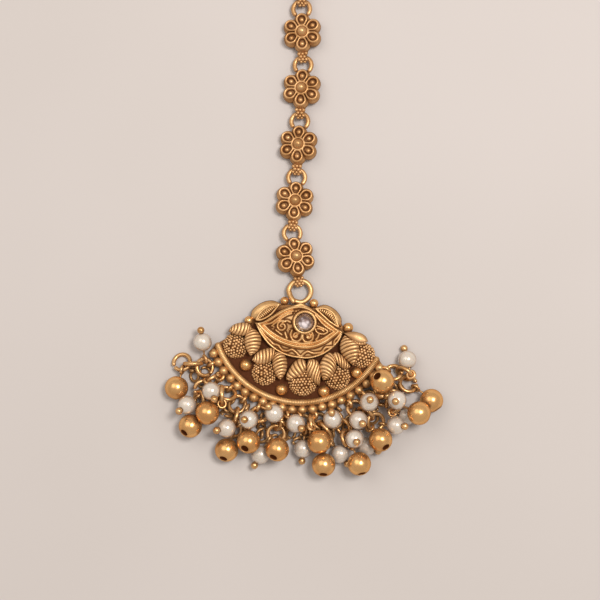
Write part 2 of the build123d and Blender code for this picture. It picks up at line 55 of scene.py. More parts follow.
# how each link turns in plan and rolls about its length, from the pendant up, in degrees
LINKS = [(14.0, 9.0), (0.5, 2.0), (1.0, -6.0), (1.0, -6.0), (6.0, -5.0), (3.0, 0.0)]
HOOK_WIRE, HOOK_SHANK, HOOK_BEND, HOOK_RETURN, HOOK_END = 0.45, 9.7, 2.0, 5.5, 0.7
# Fringe
RING_R, WIRE = 1.4, 0.34
EYE_R, EYE_WIRE, SHANK, SHANK_END, CAD_PIN = 0.64, 0.245, 0.17, 0.15, 0.16
BALL_R, BALL_HOLE, PEARL_R, PEARL_HOLE = 1.95, 0.65, 1.55, 0.34
PEARL_HEAD, BALL_HEAD, HEAD_AT, TIP_AT = 0.6, 0.5, 2.05, 0.75
EYELET_AT, EYELET_Z = 17.0, 1.1
CROWD_WIRE, CROWD_TRIES = 0.26, 9000
# where the fringe hangs along the rim, in degrees from its middle
EYELETS = [-56.0, -47.5, -38.5, -29.0, -19.5, -9.0, -3.2, 3.5, 12.5, 22.5, 33.5, 42.5, 52.0, 62.0]
# the way each gold ball's open hole faces: azimuth and elevation, in degrees
BALL_HOLES = {
    "01": (251, -10), "02": (232, 36), "03": (215, -6), "04": (255, 35), "05": (245, 48),
    "06": (246, 40), "07": (295, -10), "08": (272, 30), "09": (289, 23), "10": (312, 38),
    "11": (345, -4), "12": (140, 42), "13": (310, 12),
}

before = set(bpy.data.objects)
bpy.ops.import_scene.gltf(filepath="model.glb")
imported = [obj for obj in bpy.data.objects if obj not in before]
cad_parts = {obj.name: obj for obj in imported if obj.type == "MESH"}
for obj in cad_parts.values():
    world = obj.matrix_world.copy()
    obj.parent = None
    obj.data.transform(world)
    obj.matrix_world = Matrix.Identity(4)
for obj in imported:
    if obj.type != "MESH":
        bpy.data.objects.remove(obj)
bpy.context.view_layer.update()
stone_low, stone_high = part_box("stone")
ORIGIN = np.array([(stone_low[0] + stone_high[0]) / 2 / MM - STONE_AT[0],
                   (stone_low[1] + stone_high[1]) / 2 / MM - STONE_AT[1], 0.0])
chance = np.random.default_rng(11)


# ------------------------------------------------------------------ shapes

def unit(v):
    v = np.asarray(v, float)
    return v / np.linalg.norm(v)


def axes_about(along):
    """Three unit vectors as columns, the last one along a direction."""
    along = unit(along)
    side = np.array([1.0, 0.0, 0.0])
    side = side - along * (side @ along)
    if np.linalg.norm(side) < 1e-3:
        side = np.cross(along, (0.0, 1.0, 0.0))
    side = unit(side)
    return np.column_stack([side, np.cross(along, side), along])


def on_rim(radius, degrees, z=0.0):
    """A point at an angle along the rim, 0 being the middle of the fringe."""
    a = math.radians(degrees)
    return np.array([radius * math.sin(a), -radius * math.cos(a), z])


def circle(centre, axes, radius, turn):
    """Points round a circle in the plane of the first two axes, at these angles."""
    return centre + radius * (np.cos(turn)[:, None] * axes[:, 0] + np.sin(turn)[:, None] * axes[:, 1])


def full_turn(count):
    """Angles spread evenly round a circle."""
    return np.linspace(0, 2 * math.pi, count, endpoint=False)


def lattice(rows, cols, wrap_rows=False, wrap_cols=False):
    """Four-cornered faces between the neighbouring points of a lattice."""
    i, j = np.meshgrid(np.arange(rows if wrap_rows else rows - 1),
                       np.arange(cols if wrap_cols else cols - 1), indexing="ij")
    below, beside = (i + 1) % rows, (j + 1) % cols
    faces = [i * cols + j, i * cols + beside, below * cols + beside, below * cols + j]
    return np.stack(faces, -1).reshape(-1, 4)


def smooth_line(points, count):
    """A smooth line through points, as evenly spaced points."""
    points = np.asarray(points, float)
    padded = np.vstack([2 * points[0] - points[1], points, 2 * points[-1] - points[-2]])
    steps = np.linspace(0, 1, 24, endpoint=False)[:, None]
    runs = []
    for a, b, c, d in zip(padded, padded[1:], padded[2:], padded[3:]):
        runs.append(0.5 * (2 * b + (c - a) * steps + (2 * a - 5 * b + 4 * c - d) * steps**2
                           + (3 * b - a - 3 * c + d) * steps**3))
    dense = np.vstack(runs + [points[-1:]])
    along = np.concatenate([[0], np.cumsum(np.linalg.norm(np.diff(dense, axis=0), axis=1))])
    wanted = np.linspace(0, along[-1], count)
    return np.column_stack([np.interp(wanted, along, dense[:, k]) for k in range(dense.shape[1])])


def distance_to_line(x, y, line):
    """How far each place on a field is from a line of points."""
    nearest = np.full(x.shape, 1e9)
    for (ax, ay), (bx, by) in zip(line, line[1:]):
        dx, dy = bx - ax, by - ay
        t = np.clip(((x - ax) * dx + (y - ay) * dy) / (dx * dx + dy * dy + 1e-12), 0, 1)
        nearest = np.minimum(nearest, np.hypot(x - ax - t * dx, y - ay - t * dy))
    return nearest


class Form:
    """Points and faces gathered for one piece, and a hollow value for each point: oxide in its hollows, with
    painted shade.
    """

    def __init__(self):
        self.points, self.hollows, self.faces, self.count = [], [], [], 0

    def add(self, points, faces, hollow=0.0):
        points = np.asarray(points, float).reshape(-1, 3)
        self.points.append(points)
        self.hollows.append(np.broadcast_to(np.asarray(hollow, float).ravel(), len(points)))
        self.faces.append(faces + self.count)
        self.count += len(points)

    def add_turned(self, profile, centre, axes=None, sides=24, hollow=0.0):
        """A profile of (radius, height) turned about the last axis. Hollow may be one value a row."""
        profile = np.asarray(profile, float)
        axes = np.eye(3) if axes is None else axes
        turn = full_turn(sides)
        local = np.stack([profile[:, :1] * np.cos(turn), profile[:, :1] * np.sin(turn),
                          np.repeat(profile[:, 1:], sides, axis=1)], -1)
        rows = np.repeat(np.broadcast_to(hollow, len(profile))[:, None], sides, axis=1)
        self.add(np.asarray(centre) + local @ axes.T, lattice(len(profile), sides, wrap_cols=True), rows)

    def add_rows(self, rows, centre, axes=None, sides=24):
        """A turned profile given as rows of (radius, height, hollow)."""
        rows = np.array(rows)
        self.add_turned(rows[:, :2], centre, axes, sides, rows[:, 2])

    def add_ball(self, centre, radius, axes=None, sides=24, flat=1.0, hollow=0.0, low_shade=None, dusk=0.12):
        """A ball, or one pressed flat along the last axis, with painted shade below the height called dusk if
        asked.
        """
        tilt = np.linspace(-math.pi / 2, math.pi / 2, sides // 2 + 1)
        profile = np.column_stack([np.cos(tilt), np.sin(tilt) * flat]) * radius
        profile[[0, -1], 0] = 0
        shade = hollow
        if low_shade is not None:
            shade = hollow + (low_shade - hollow) * np.clip(dusk - np.sin(tilt), 0, 1)
        self.add_turned(profile, centre, axes, sides, shade)

    def add_tube(self, line, radius, sides=12, closed=False, facing=None, hollow=0.0):
        """Round wire along a line of points, with rounded ends. Radius may change along it."""
        line = np.asarray(line, float)
        count = len(line)
        radius = np.broadcast_to(np.asarray(radius, float), count).copy()
        if closed:
            tangent = np.roll(line, -1, axis=0) - np.roll(line, 1, axis=0)
        else:
            along = np.concatenate([[0], np.cumsum(np.linalg.norm(np.diff(line, axis=0), axis=1))])
            near = np.clip(np.minimum(along, along[-1] - along) / radius, 0, 1)
            radius = radius * np.sqrt(np.clip(1 - (1 - near) ** 2, 0, 1))
            tangent = np.gradient(line, axis=0)
        tangent /= np.linalg.norm(tangent, axis=1)[:, None]
        if facing is None:
            facing = UP
        side = np.cross(tangent, facing)
        side /= np.linalg.norm(side, axis=1)[:, None]
        over = np.cross(side, tangent)
        turn = full_turn(sides)[None, :, None]
        ring = side[:, None, :] * np.cos(turn) + over[:, None, :] * np.sin(turn)
        shade = np.repeat(np.broadcast_to(hollow, count)[:, None], sides, axis=1)
        self.add(line[:, None, :] + ring * radius[:, None, None],
                 lattice(count, sides, wrap_rows=closed, wrap_cols=True), shade)

    def add_ring(self, centre, normal, radius, wire, sides=48, around=12, cut=None, hollow=0.0):
        """A wire ring. Cut is the angle of a fine saw cut across it."""
        axes = axes_about(normal)
        half_cut = 0.0 if cut is None else SAW_CUT / 2
        turn = np.linspace(half_cut, 2 * math.pi - half_cut, sides, endpoint=cut is not None) + (cut or 0.0)
        self.add_tube(circle(centre, axes, radius, turn), wire, around, cut is None, axes[:, 2], hollow)

    def add_mound(self, outer, inner, height, ribs=0, slant=0.0, bow=0.0, depth=0.24, ledge=LEAF_FOOT,
                  rows=96, cols=44, steep=0.34, lean=0.0):
        """A domed leaf between two edges that share both tips, with raised cords across it.

        Slant and bow skew and bend the cords, depth is how far they stand out, ledge is the height of
        the leaf's edge, steep is low for a flat top with steep sides, and lean moves the crest sideways.
        """
        outer, inner = smooth_line(outer, rows), smooth_line(inner, rows)
        u = np.linspace(0, 1, rows)[:, None]
        v = np.sin(np.linspace(-math.pi / 2, math.pi / 2, cols))[None, :]
        plan = (outer + inner)[:, None] / 2 + (inner - outer)[:, None] / 2 * v[..., None]
        crest = v - lean * (1 - v**2)
        rise = np.clip((1 - crest**2) * np.clip(np.sin(math.pi * u), 0, 1), 0, 1) ** steep
        # shade holds oxide with painted shade between the cords, and painted shade down the leaf's falling
        # sides and over its wall
        if ribs:
            phase = (ribs * u + slant * v + bow * v * v) % 1
            cord = np.sqrt(np.clip(1 - (2 * phase - 1) ** 2, 0, 1))
            grooves, hem = 1.35 * (1 - cord) ** 1.2, 0.7 * (1 - rise) ** 1.5
            shade = np.clip(grooves + hem, 0, 1)
        else:
            cord = np.ones_like(rise)
            shade = 0.8 * (1 - rise) ** 1.6
        fade = np.clip(rise * 2.0 - 0.2, 0, 1)
        top = np.dstack([plan, ledge + (height - ledge) * rise - depth * (1 - cord) * fade])
        under = top[:, ::-1].copy()
        under[..., 2] = LEAF_FOOT
        self.add(np.concatenate([top, under], 1), lattice(rows, 2 * cols, wrap_cols=True),
                 np.concatenate([shade, np.ones_like(shade)], 1))

    def make(self, name, material, slot, *nodes, underside_shade=(0.8, 0.6)):
        """Turns what was gathered into a piece that stands for its CAD nodes."""
        points = (np.concatenate(self.points) + ORIGIN) * MM
        corners = np.concatenate([face.ravel() for face in self.faces])
        mesh = bpy.data.meshes.new(name)
        mesh.vertices.add(len(points))
        mesh.vertices.foreach_set("co", points.ravel())
        mesh.loops.add(len(corners))
        mesh.loops.foreach_set("vertex_index", corners.astype(np.int32))
        mesh.polygons.add(len(corners) // 4)
        mesh.polygons.foreach_set("loop_start", np.arange(0, len(corners), 4, dtype=np.int32))
        mesh.update(calc_edges=True)
        wear = mesh.attributes.new("hollow", "FLOAT", "POINT")
        wear.data.foreach_set("value", np.concatenate(self.hollows).astype(np.float32))
        tidy_mesh(mesh)
        # painted shade on faces that turn away from above
        paint_underside_shade(mesh, *underside_shade)
        mesh.polygons.foreach_set("use_smooth", np.ones(len(mesh.polygons), bool))
        mesh.materials.append(material)
        piece = bpy.data.objects.new(name, mesh)
        bpy.context.scene.collection.objects.link(piece)
        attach(piece, "root")
        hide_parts(*nodes)
        return piece


def tidy_mesh(mesh):
    """Welds the points that meet at poles and tips, and turns every face outwards."""
    work = bmesh.new()
    work.from_mesh(mesh)
    bmesh.ops.remove_doubles(work, verts=work.verts, dist=WELD_M)
    bmesh.ops.recalc_face_normals(work, faces=work.faces)
    work.to_mesh(mesh)
    work.free()


def paint_underside_shade(mesh, share, most, start=0.55):
    """Deepens the painted shade in the hollow value where a face turns away from above, as less light falls
    there.

    It begins where a normal's upward share falls under start, and goes no further than most.
    """
    hollow = np.empty(len(mesh.vertices), np.float32)
    normals = np.empty(len(mesh.vertices) * 3, np.float32)
    mesh.attributes["hollow"].data.foreach_get("value", hollow)
    mesh.vertex_normals.foreach_get("vector", normals)
    deeper = hollow + share * np.clip(start - normals[2::3], 0, 1)
    mesh.attributes["hollow"].data.foreach_set("value", np.maximum(hollow, np.minimum(deeper, most)))


# ------------------------------------------------------------------ finishes

def tint(red, green, blue):
    """A colour from eight-bit screen values."""
    return tuple(((c / 255 + 0.055) / 1.055) ** 2.4 for c in (red, green, blue)) + (1.0,)


def put(tree, kind, inputs=None, **settings):
    """A new node with its settings, its inputs set or linked."""
    node = tree.nodes.new(kind)
    for key, value in settings.items():
        setattr(node, key, value)
    for key, value in (inputs or {}).items():
        if isinstance(value, bpy.types.NodeSocket):
            tree.links.new(value, node.inputs[key])
        else:
            node.inputs[key].default_value = value
    return node


def sums(tree, operation, first, second, third=None):
    """The result of one sum on values or sockets."""
    inputs = {0: first, 1: second}
    if third is not None:
        inputs[2] = third
    return put(tree, "ShaderNodeMath", inputs, operation=operation).outputs[0]


def blended(tree, share, first, second):
    """A colour between two others."""
    return put(tree, "ShaderNodeMix", {0: share, 6: first, 7: second}, data_type="RGBA").outputs[2]


def ramped(tree, value, low, high, to_low=0.0, to_high=1.0):
    """A value eased from one span to another."""
    return put(tree, "ShaderNodeMapRange", {0: value, 1: low, 2: high, 3: to_low, 4: to_high},
               interpolation_type="SMOOTHSTEP").outputs[0]


def mottle(tree, scale, detail=3.0, place=None):
    """Cloudy noise over the surface, from 0 to 1."""
    place = place or tree.nodes.new("ShaderNodeTexCoord").outputs["Object"]
    return put(tree, "ShaderNodeTexNoise", {"Vector": place, "Scale": scale, "Detail": detail}).outputs[0]


def new_group(name, inputs, outputs):
    """An empty shader group with its named sockets, and its two ends."""
    group = bpy.data.node_groups.new(name, "ShaderNodeTree")
    for label, kind, value in inputs:
        group.interface.new_socket(label, in_out="INPUT", socket_type=kind).default_value = value
    for label, kind in outputs:
        group.interface.new_socket(label, in_out="OUTPUT", socket_type=kind)
    return group, group.nodes.new("NodeGroupInput"), group.nodes.new("NodeGroupOutput")


FLOAT, COLOUR = "NodeSocketFloat", "NodeSocketColor"


def make_patina_group():
    """Gold that has dulled in clouds, with dark oxide left in its hollows; its Hollow input also carries
    painted shade.
    """
    group, given, result = new_group(
        "antique_patina",
        [("Bright", COLOUR, (1, 1, 1, 1)), ("Body", COLOUR, (1, 1, 1, 1)), ("Oxide", COLOUR, (0, 0, 0, 1)),
         ("Hollow", FLOAT, 0.0), ("Oxide Reach", FLOAT, 1.0), ("Cloud Scale", FLOAT, 500.0),
         ("Speckle Scale", FLOAT, 4000.0), ("Low Roughness", FLOAT, 0.25), ("High Roughness", FLOAT, 0.42)],
        [("Color", COLOUR), ("Roughness", FLOAT), ("Metal", FLOAT), ("Height", FLOAT)])
    place = group.nodes.new("ShaderNodeTexCoord").outputs["Object"]
    clouds = mottle(group, given.outputs["Cloud Scale"], 3.0, place)
    speckle = mottle(group, given.outputs["Speckle Scale"], 2.0, place)
    dull = ramped(group, clouds, 0.36, 0.64)
    metal = blended(group, dull, given.outputs["Bright"], given.outputs["Body"])
    reach = sums(group, "MULTIPLY", given.outputs["Hollow"], given.outputs["Oxide Reach"])
    uneven = sums(group, "MULTIPLY_ADD", sums(group, "SUBTRACT", clouds, 0.5), 0.7, 1.0)
    oxide = ramped(group, sums(group, "MULTIPLY", reach, uneven), 0.12, 0.85)
    group.links.new(blended(group, oxide, metal, given.outputs["Oxide"]), result.inputs["Color"])
    gloss = put(group, "ShaderNodeMapRange", {0: speckle, 1: 0.3, 2: 0.7, 3: given.outputs["Low Roughness"],
                                              4: given.outputs["High Roughness"]}).outputs[0]
    group.links.new(sums(group, "MULTIPLY_ADD", oxide, 0.3, gloss), result.inputs["Roughness"])
    group.links.new(sums(group, "MULTIPLY_ADD", oxide, -0.65, 1.0), result.inputs["Metal"])
    group.links.new(sums(group, "MULTIPLY_ADD", clouds, 0.6, sums(group, "MULTIPLY", speckle, 0.4)),
                    result.inputs["Height"])
    return group


def make_scuff_group():
    """Fine handling scratches that run every way, as a height."""
    group, given, result = new_group(
        "fine_scuffs", [("Scale", FLOAT, 900.0), ("Stretch", FLOAT, 9.0)], [("Height", FLOAT)])
    place = group.nodes.new("ShaderNodeTexCoord").outputs["Object"]
    total = None
    for turn in (0.4, 2.1):
        turned = put(group, "ShaderNodeMapping", {"Vector": place, "Rotation": (turn, turn / 2, turn)})
        stretch = put(group, "ShaderNodeCombineXYZ", {0: 1.0, 1: given.outputs["Stretch"], 2: 1.0}).outputs[0]
        drawn = put(group, "ShaderNodeVectorMath", {0: turned.outputs[0], 1: stretch}, operation="MULTIPLY")
        lines = mottle(group, given.outputs["Scale"], 1.0, drawn.outputs[0])
        total = lines if total is None else sums(group, "ADD", total, lines)
    group.links.new(total, result.inputs["Height"])
    return group


PATINA, SCUFFS = make_patina_group(), make_scuff_group()


def new_material(name):
    material = bpy.data.materials.new(name)
    material.use_nodes = True
    return material, material.node_tree, material.node_tree.nodes["Principled BSDF"]


# metal reflects browner at its edges, as a dull film is seen edge on there
EDGE_TINT = (0.72, 0.52, 0.34, 1.0)
FILM_BUMP_M, SCUFF_SHARE = 0.0001, 0.35
# how deep a hollow has to be before light bounced inside it counts
GLOW_FROM, GLOW_FULL = 0.94, 0.99


def gold(name, bright, body, oxide, reach, clouds, smooth, bump, metal, glow=0.0):
    """An antique gold finish: metal under a thin dull film, so a little of its colour scatters.

    Reach is how far oxide spreads from hollows, clouds the scale of the dull patches, smooth the least
    and most roughness, metal how much of it is bare, and glow the light bounced about in deep hollows.
    """
    material, tree, shader = new_material(name)
    hollow = put(tree, "ShaderNodeAttribute", attribute_name="hollow").outputs["Fac"]
    aged = put(tree, "ShaderNodeGroup", {
        "Bright": tint(*bright), "Body": tint(*body), "Oxide": tint(*oxide), "Oxide Reach": reach,
        "Cloud Scale": clouds, "Speckle Scale": clouds * 7, "Low Roughness": smooth[0],
        "High Roughness": smooth[1], "Hollow": hollow}, node_tree=PATINA)
    scratched = put(tree, "ShaderNodeGroup", node_tree=SCUFFS)
    tree.links.new(aged.outputs["Color"], shader.inputs["Base Color"])
    shader.inputs["Specular Tint"].default_value = EDGE_TINT
    tree.links.new(aged.outputs["Roughness"], shader.inputs["Roughness"])
    tree.links.new(sums(tree, "MULTIPLY", aged.outputs["Metal"], metal), shader.inputs["Metallic"])
    if glow:
        shader.inputs["Emission Color"].default_value = tint(*oxide)
        bounced = ramped(tree, hollow, GLOW_FROM, GLOW_FULL, 0.0, glow)
        tree.links.new(bounced, shader.inputs["Emission Strength"])
    height = sums(tree, "MULTIPLY_ADD", scratched.outputs["Height"], SCUFF_SHARE, aged.outputs["Height"])
    rough = put(tree, "ShaderNodeBump", {"Strength": bump, "Distance": FILM_BUMP_M, "Height": height})
    tree.links.new(rough.outputs[0], shader.inputs["Normal"])
    return material


pendant_gold = gold("pendant_gold", bright=(232, 188, 132), body=(210, 162, 106), oxide=(92, 50, 20),
                    reach=1.1, clouds=420.0, smooth=(0.3, 0.46), bump=0.2, metal=0.75)
bud_gold = gold("bud_gold", bright=(236, 190, 136), body=(214, 166, 112), oxide=(102, 58, 26),
                reach=1.0, clouds=500.0, smooth=(0.32, 0.46), bump=0.2, metal=0.72)
plate_gold = gold("plate_gold", bright=(186, 136, 84), body=(160, 112, 66), oxide=(90, 48, 26),
                  reach=1.3, clouds=300.0, smooth=(0.4, 0.6), bump=0.3, metal=0.7)
link_gold = gold("link_gold", bright=(222, 176, 124), body=(198, 150, 98), oxide=(106, 64, 34),
                 reach=1.0, clouds=420.0, smooth=(0.32, 0.48), bump=0.2, metal=0.7)
ball_gold = gold("ball_gold", bright=(243, 191, 127), body=(227, 169, 107), oxide=(86, 44, 20),
                 reach=1.2, clouds=260.0, smooth=(0.21, 0.33), bump=0.11, metal=0.84, glow=0.4)
wire_gold = gold("wire_gold", bright=(234, 188, 132), body=(204, 154, 98), oxide=(96, 54, 22),
                 reach=1.0, clouds=600.0, smooth=(0.24, 0.38), bump=0.12, metal=0.8)
hook_gold = gold("hook_gold", bright=(228, 182, 124), body=(208, 160, 104), oxide=(96, 56, 26),
                 reach=1.0, clouds=300.0, smooth=(0.22, 0.36), bump=0.12, metal=0.85)


def make_pearl_finish():
    """Cream nacre in soft clouds, warmer where stained round its holes, with warm painted shade where it
    turns down to its neighbours.
    """
    material, tree, shader = new_material("pearl_nacre")
    place = tree.nodes.new("ShaderNodeTexCoord").outputs["Object"]
    clouds = ramped(tree, mottle(tree, 320.0, 3.0, place), 0.35, 0.65)
    hollow = put(tree, "ShaderNodeAttribute", attribute_name="hollow").outputs["Fac"]
    nacre = blended(tree, clouds, tint(225, 214, 200), tint(214, 199, 183))
    # stains round the holes and painted shade below, both carried by the hollow value
    worn = blended(tree, ramped(tree, hollow, 0.1, 0.9), nacre, tint(150, 104, 64))
    tree.links.new(worn, shader.inputs["Base Color"])
    speckle = mottle(tree, 2600.0, 3.0, place)
    tree.links.new(ramped(tree, speckle, 0.3, 0.7, 0.22, 0.3), shader.inputs["Roughness"])
    rough = put(tree, "ShaderNodeBump", {"Strength": 0.02, "Distance": 0.00008, "Height": speckle})
    tree.links.new(rough.outputs[0], shader.inputs["Normal"])
    shader.inputs["Metallic"].default_value = 0.2
    shader.inputs["Subsurface Weight"].default_value = 0.1
    shader.inputs["Subsurface Radius"].default_value = (0.0009, 0.0006, 0.0004)
    shader.inputs["Subsurface Scale"].default_value = 1.0
    shader.inputs["Coat Weight"].default_value = 1.0
    shader.inputs["Coat IOR"].default_value = 1.6
    shader.inputs["Coat Roughness"].default_value = 0.13
    return material


def make_stone_finish():
    """A foil-backed cut stone: smoky above, with a pale pink highlight painted low in its middle."""
    material, tree, shader = new_material("cut_stone")
    place = tree.nodes.new("ShaderNodeTexCoord").outputs["Object"]
    # painted highlight: the foil's glint, a pale patch broken up by shards
    painted_glint_at = np.array([STONE_AT[0] - 0.05, STONE_AT[1] - 0.45, 4.0]) + ORIGIN
    away = put(tree, "ShaderNodeVectorMath", {0: place, 1: tuple(painted_glint_at * MM)}, operation="DISTANCE")
    shards = put(tree, "ShaderNodeTexVoronoi", {"Vector": place, "Scale": 1500.0}).outputs["Distance"]
    reach = sums(tree, "MULTIPLY_ADD", shards, 0.0011, away.outputs["Value"])
    painted_glint = ramped(tree, reach, 0.0007, 0.0017, 1.0, 0.0)
    wisps = ramped(tree, mottle(tree, 900.0, 2.0, place), 0.4, 0.6)
    smoke = blended(tree, wisps, tint(92, 66, 58), tint(138, 108, 100))
    tree.links.new(blended(tree, painted_glint, smoke, tint(246, 232, 232)), shader.inputs["Base Color"])
    tree.links.new(ramped(tree, shards, 0.0, 0.6, 0.04, 0.12), shader.inputs["Roughness"])
    shader.inputs["Coat Weight"].default_value = 0.8
    shader.inputs["Coat Roughness"].default_value = 0.03
    shader.inputs["IOR"].default_value = 1.9
    return material


pearl_nacre, cut_stone = make_pearl_finish(), make_stone_finish()


# ------------------------------------------------------------------ what the frame holds

def node_points(name):
    """The corners of a CAD node, about the centre of the pendant's rim."""
    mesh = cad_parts[name].data
    corners = np.empty(len(mesh.vertices) * 3)
    mesh.vertices.foreach_get("co", corners)
    return corners.reshape(-1, 3) / MM - ORIGIN


def loose_parts(name):
    """The separate shapes of a CAD node, each as its points."""
    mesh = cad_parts[name].data
    points, index = np.unique(np.round(node_points(name), 3), axis=0, return_inverse=True)
    pairs = np.empty(len(mesh.edges) * 2, np.int32)
    mesh.edges.foreach_get("vertices", pairs)
    pairs = index.ravel()[pairs].reshape(-1, 2)
    label = np.arange(len(points))
    while True:
        low = label[pairs].min(axis=1)
        joined = label.copy()
        np.minimum.at(joined, pairs[:, 0], low)
        np.minimum.at(joined, pairs[:, 1], low)
        joined = joined[joined]
        if (joined == label).all():
            return [points[label == part] for part in np.unique(label)]
        label = joined


def centre_of_skin(skin):
    """Centre of the ball that these points lie on."""
    rows = np.column_stack([2 * skin, np.ones(len(skin))])
    return np.linalg.lstsq(rows, (skin**2).sum(axis=1), rcond=None)[0][:3]


def ball_centre(points, radius):
    """Centre of a bead, from its outermost points, as some lie in its hole."""
    middle = (points.min(axis=0) + points.max(axis=0)) / 2
    return centre_of_skin(points[np.linalg.norm(points - middle, axis=1) > radius - SKIN_DEPTH])


def main_axes(points):
    """Directions of least, middle and most spread, as columns."""
    return np.linalg.eigh(np.cov((points - points.mean(axis=0)).T))[1]


def faces_way(azimuth, elevation):
    """A direction from its two angles."""
    a, e = math.radians(azimuth), math.radians(elevation)
    return np.array([math.cos(a) * math.cos(e), math.sin(a) * math.cos(e), math.sin(e)])


SKIN_DEPTH, LOOP_MARGIN = 0.13, 0.2
ball_centres = {name: ball_centre(node_points(f"gold_ball_{name}"), BALL_R) for name in BALL_HOLES}
pearl_names = sorted(name[6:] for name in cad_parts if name.startswith("pearl_"))
pearl_centres = {name: ball_centre(node_points(f"pearl_{name}"), PEARL_R) for name in pearl_names}
wire_names = sorted(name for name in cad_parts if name.startswith("wires_"))


def bead_on(middle, axis, low, high):
    """Kind, name and centre of the bead nearest a pin's line between two places along it."""
    best = None
    for kind, centres in (("ball", ball_centres), ("pearl", pearl_centres)):
        for name, centre in centres.items():
            along = np.clip((centre - middle) @ axis, low, high)
            away = np.linalg.norm(centre - middle - axis * along)
            if best is None or away < best[0]:
                best = (away, kind, name, centre)
    return best[1:]


def read_pin(points):
    """Which bead a pin carries, its eye, the way its eye faces, and its head."""
    axis = main_axes(points)[:, 2]
    middle = points.mean(axis=0)
    along = (points - middle) @ axis
    kind, name, centre = bead_on(middle, axis, along.min(), along.max())
    if kind == "ball":
        head = centre - faces_way(*BALL_HOLES[name]) * TIP_AT
    else:
        if (centre - middle) @ axis < 0:
            axis = -axis
        reach = (points - centre) @ axis
        if reach.max() > -reach.min():
            axis, reach = -axis, -reach
        head = centre_of_skin(points[reach > HEAD_AT - PEARL_HEAD + SHANK_END])
    if (head - middle) @ axis < 0:
        axis = -axis
    back = (points - head) @ axis
    loop = points[back < back.min() + 1.5 * EYE_R]
    axis = unit(head - (loop.min(axis=0) + loop.max(axis=0)) / 2)
    back = (points - head) @ axis
    eye = head + axis * (back.min() + EYE_R + CAD_PIN)
    loop = points[np.linalg.norm(points - eye, axis=1) < EYE_R + LOOP_MARGIN]
    facing = main_axes(loop)[:, 0]
    return kind, name, eye, unit(facing - axis * (facing @ axis)), head


# ------------------------------------------------------------------ pendant

# outline of the plate above the rim, from the rim's right end to its left end
CROWN = [(13.3, -5.95), (12.6, -5.6), (11.9, -4.3), (10.6, -3.2), (8.9, -2.5), (7.7, -1.8), (6.6, -0.5),
         (5.6, 0.6), (4.2, 1.2), (2.2, 1.5), (0.0, 1.5), (-2.7, 1.5), (-4.4, 1.2), (-6.3, 0.8), (-7.6, -0.5),
         (-8.3, -1.9), (-9.6, -2.9), (-11.0, -3.6), (-12.0, -5.0), (-13.3, -5.95)]
# the plate's rounded edge, from its top round to its back: inset, height, wear
PLATE_EDGE = [(0.9, PLATE_TOP, 0.5), (0.3, PLATE_TOP, 0.3), (0.12, PLATE_TOP - 0.03, 0.2),
              (0.03, PLATE_TOP - 0.12, 0.1), (0.0, PLATE_TOP - 0.3, 0.2), (0.0, 0.3, 0.35),
              (0.03, 0.12, 0.3), (0.12, 0.03, 0.2), (0.3, 0.0, 0.3), (0.9, 0.0, 0.4)]


def make_back_plate():
    """Half-moon plate: oxidised behind the buds, with a raised flange under the bead border."""
    reach, flat_share = RIM_HALF_ANGLE - 3.3, 0.86
    arc = [on_rim(FLANGE_OUTER, a)[:2] for a in np.linspace(-reach, reach, 150)]
    edge = np.array(arc + list(smooth_line([arc[-1], *CROWN, arc[0]], 170)[1:-1]))
    middle = np.array([0.0, -6.0])
    out = edge - middle
    length = np.linalg.norm(out, axis=1)[:, None]
    front = [(share, PLATE_TOP, 1.0) for share in [0.0, *np.linspace(0.1, flat_share, 16)]]
    back = [(share, 0.0, 0.45) for share in np.linspace(flat_share, 0.0, 8)]
    rows = [(middle + out * share, z, wear) for share, z, wear in front]
    rows += [(middle + out * (1 - inset / length), z, wear) for inset, z, wear in PLATE_EDGE]
    rows += [(middle + out * share, z, wear) for share, z, wear in back]
    points = [np.column_stack([plan, np.full(len(edge), z)]) for plan, z, _ in rows]
    shade = np.repeat([[wear] for _, _, wear in rows], len(edge), axis=1)
    plate = Form()
    plate.add(np.array(points), lattice(len(rows), len(edge), wrap_cols=True), shade)
    plate.make("back_plate", plate_gold, "pendant_gold", "pendant")


def make_rim():
    """Rim wire wound with finer wire: the winding is worn smooth at the left and crisp at the right."""
    pitch, steps, depth, flare = 0.27, 8, 0.07, 0.03
    turns = round(RIM_R * math.radians(2 * RIM_HALF_ANGLE) / pitch)
    angle = np.linspace(-RIM_HALF_ANGLE, RIM_HALF_ANGLE, turns * steps)
    line = np.array([on_rim(RIM_R, a, RIM_Z) for a in angle])
    cord = np.abs(np.sin(math.pi * (np.arange(len(angle)) % steps / steps)))
    crisp = np.clip(0.75 + (angle + 10) / 90, 0.5, 1.0)
    at_end = np.clip(8 * np.abs(angle) / RIM_HALF_ANGLE - 7.3, 0, 1)
    rim = Form()
    rim.add_tube(line, RIM_WIRE - depth * crisp * (1 - cord) + flare * at_end, 16,
                 hollow=0.5 * crisp * (1 - cord))
    rim.make("rim_coil", pendant_gold, "pendant_gold", "pendant")


def make_border():
    """Row of soldered beads outside the rim, none quite alike."""
    border = Form()
    for i in range(-10, 11):
        nudge, size = chance.normal(0, 0.05, 2), BORDER_BEAD * chance.uniform(0.95, 1.03)
        centre = on_rim(BORDER_R + nudge[0], i * BORDER_PITCH + nudge[1], BORDER_Z)
        # painted shade on each bead's lower half
        border.add_ball(centre, size, sides=30, low_shade=0.7, dusk=-0.1)
    border.make("border_beads", pendant_gold, "pendant_gold", "pendant")


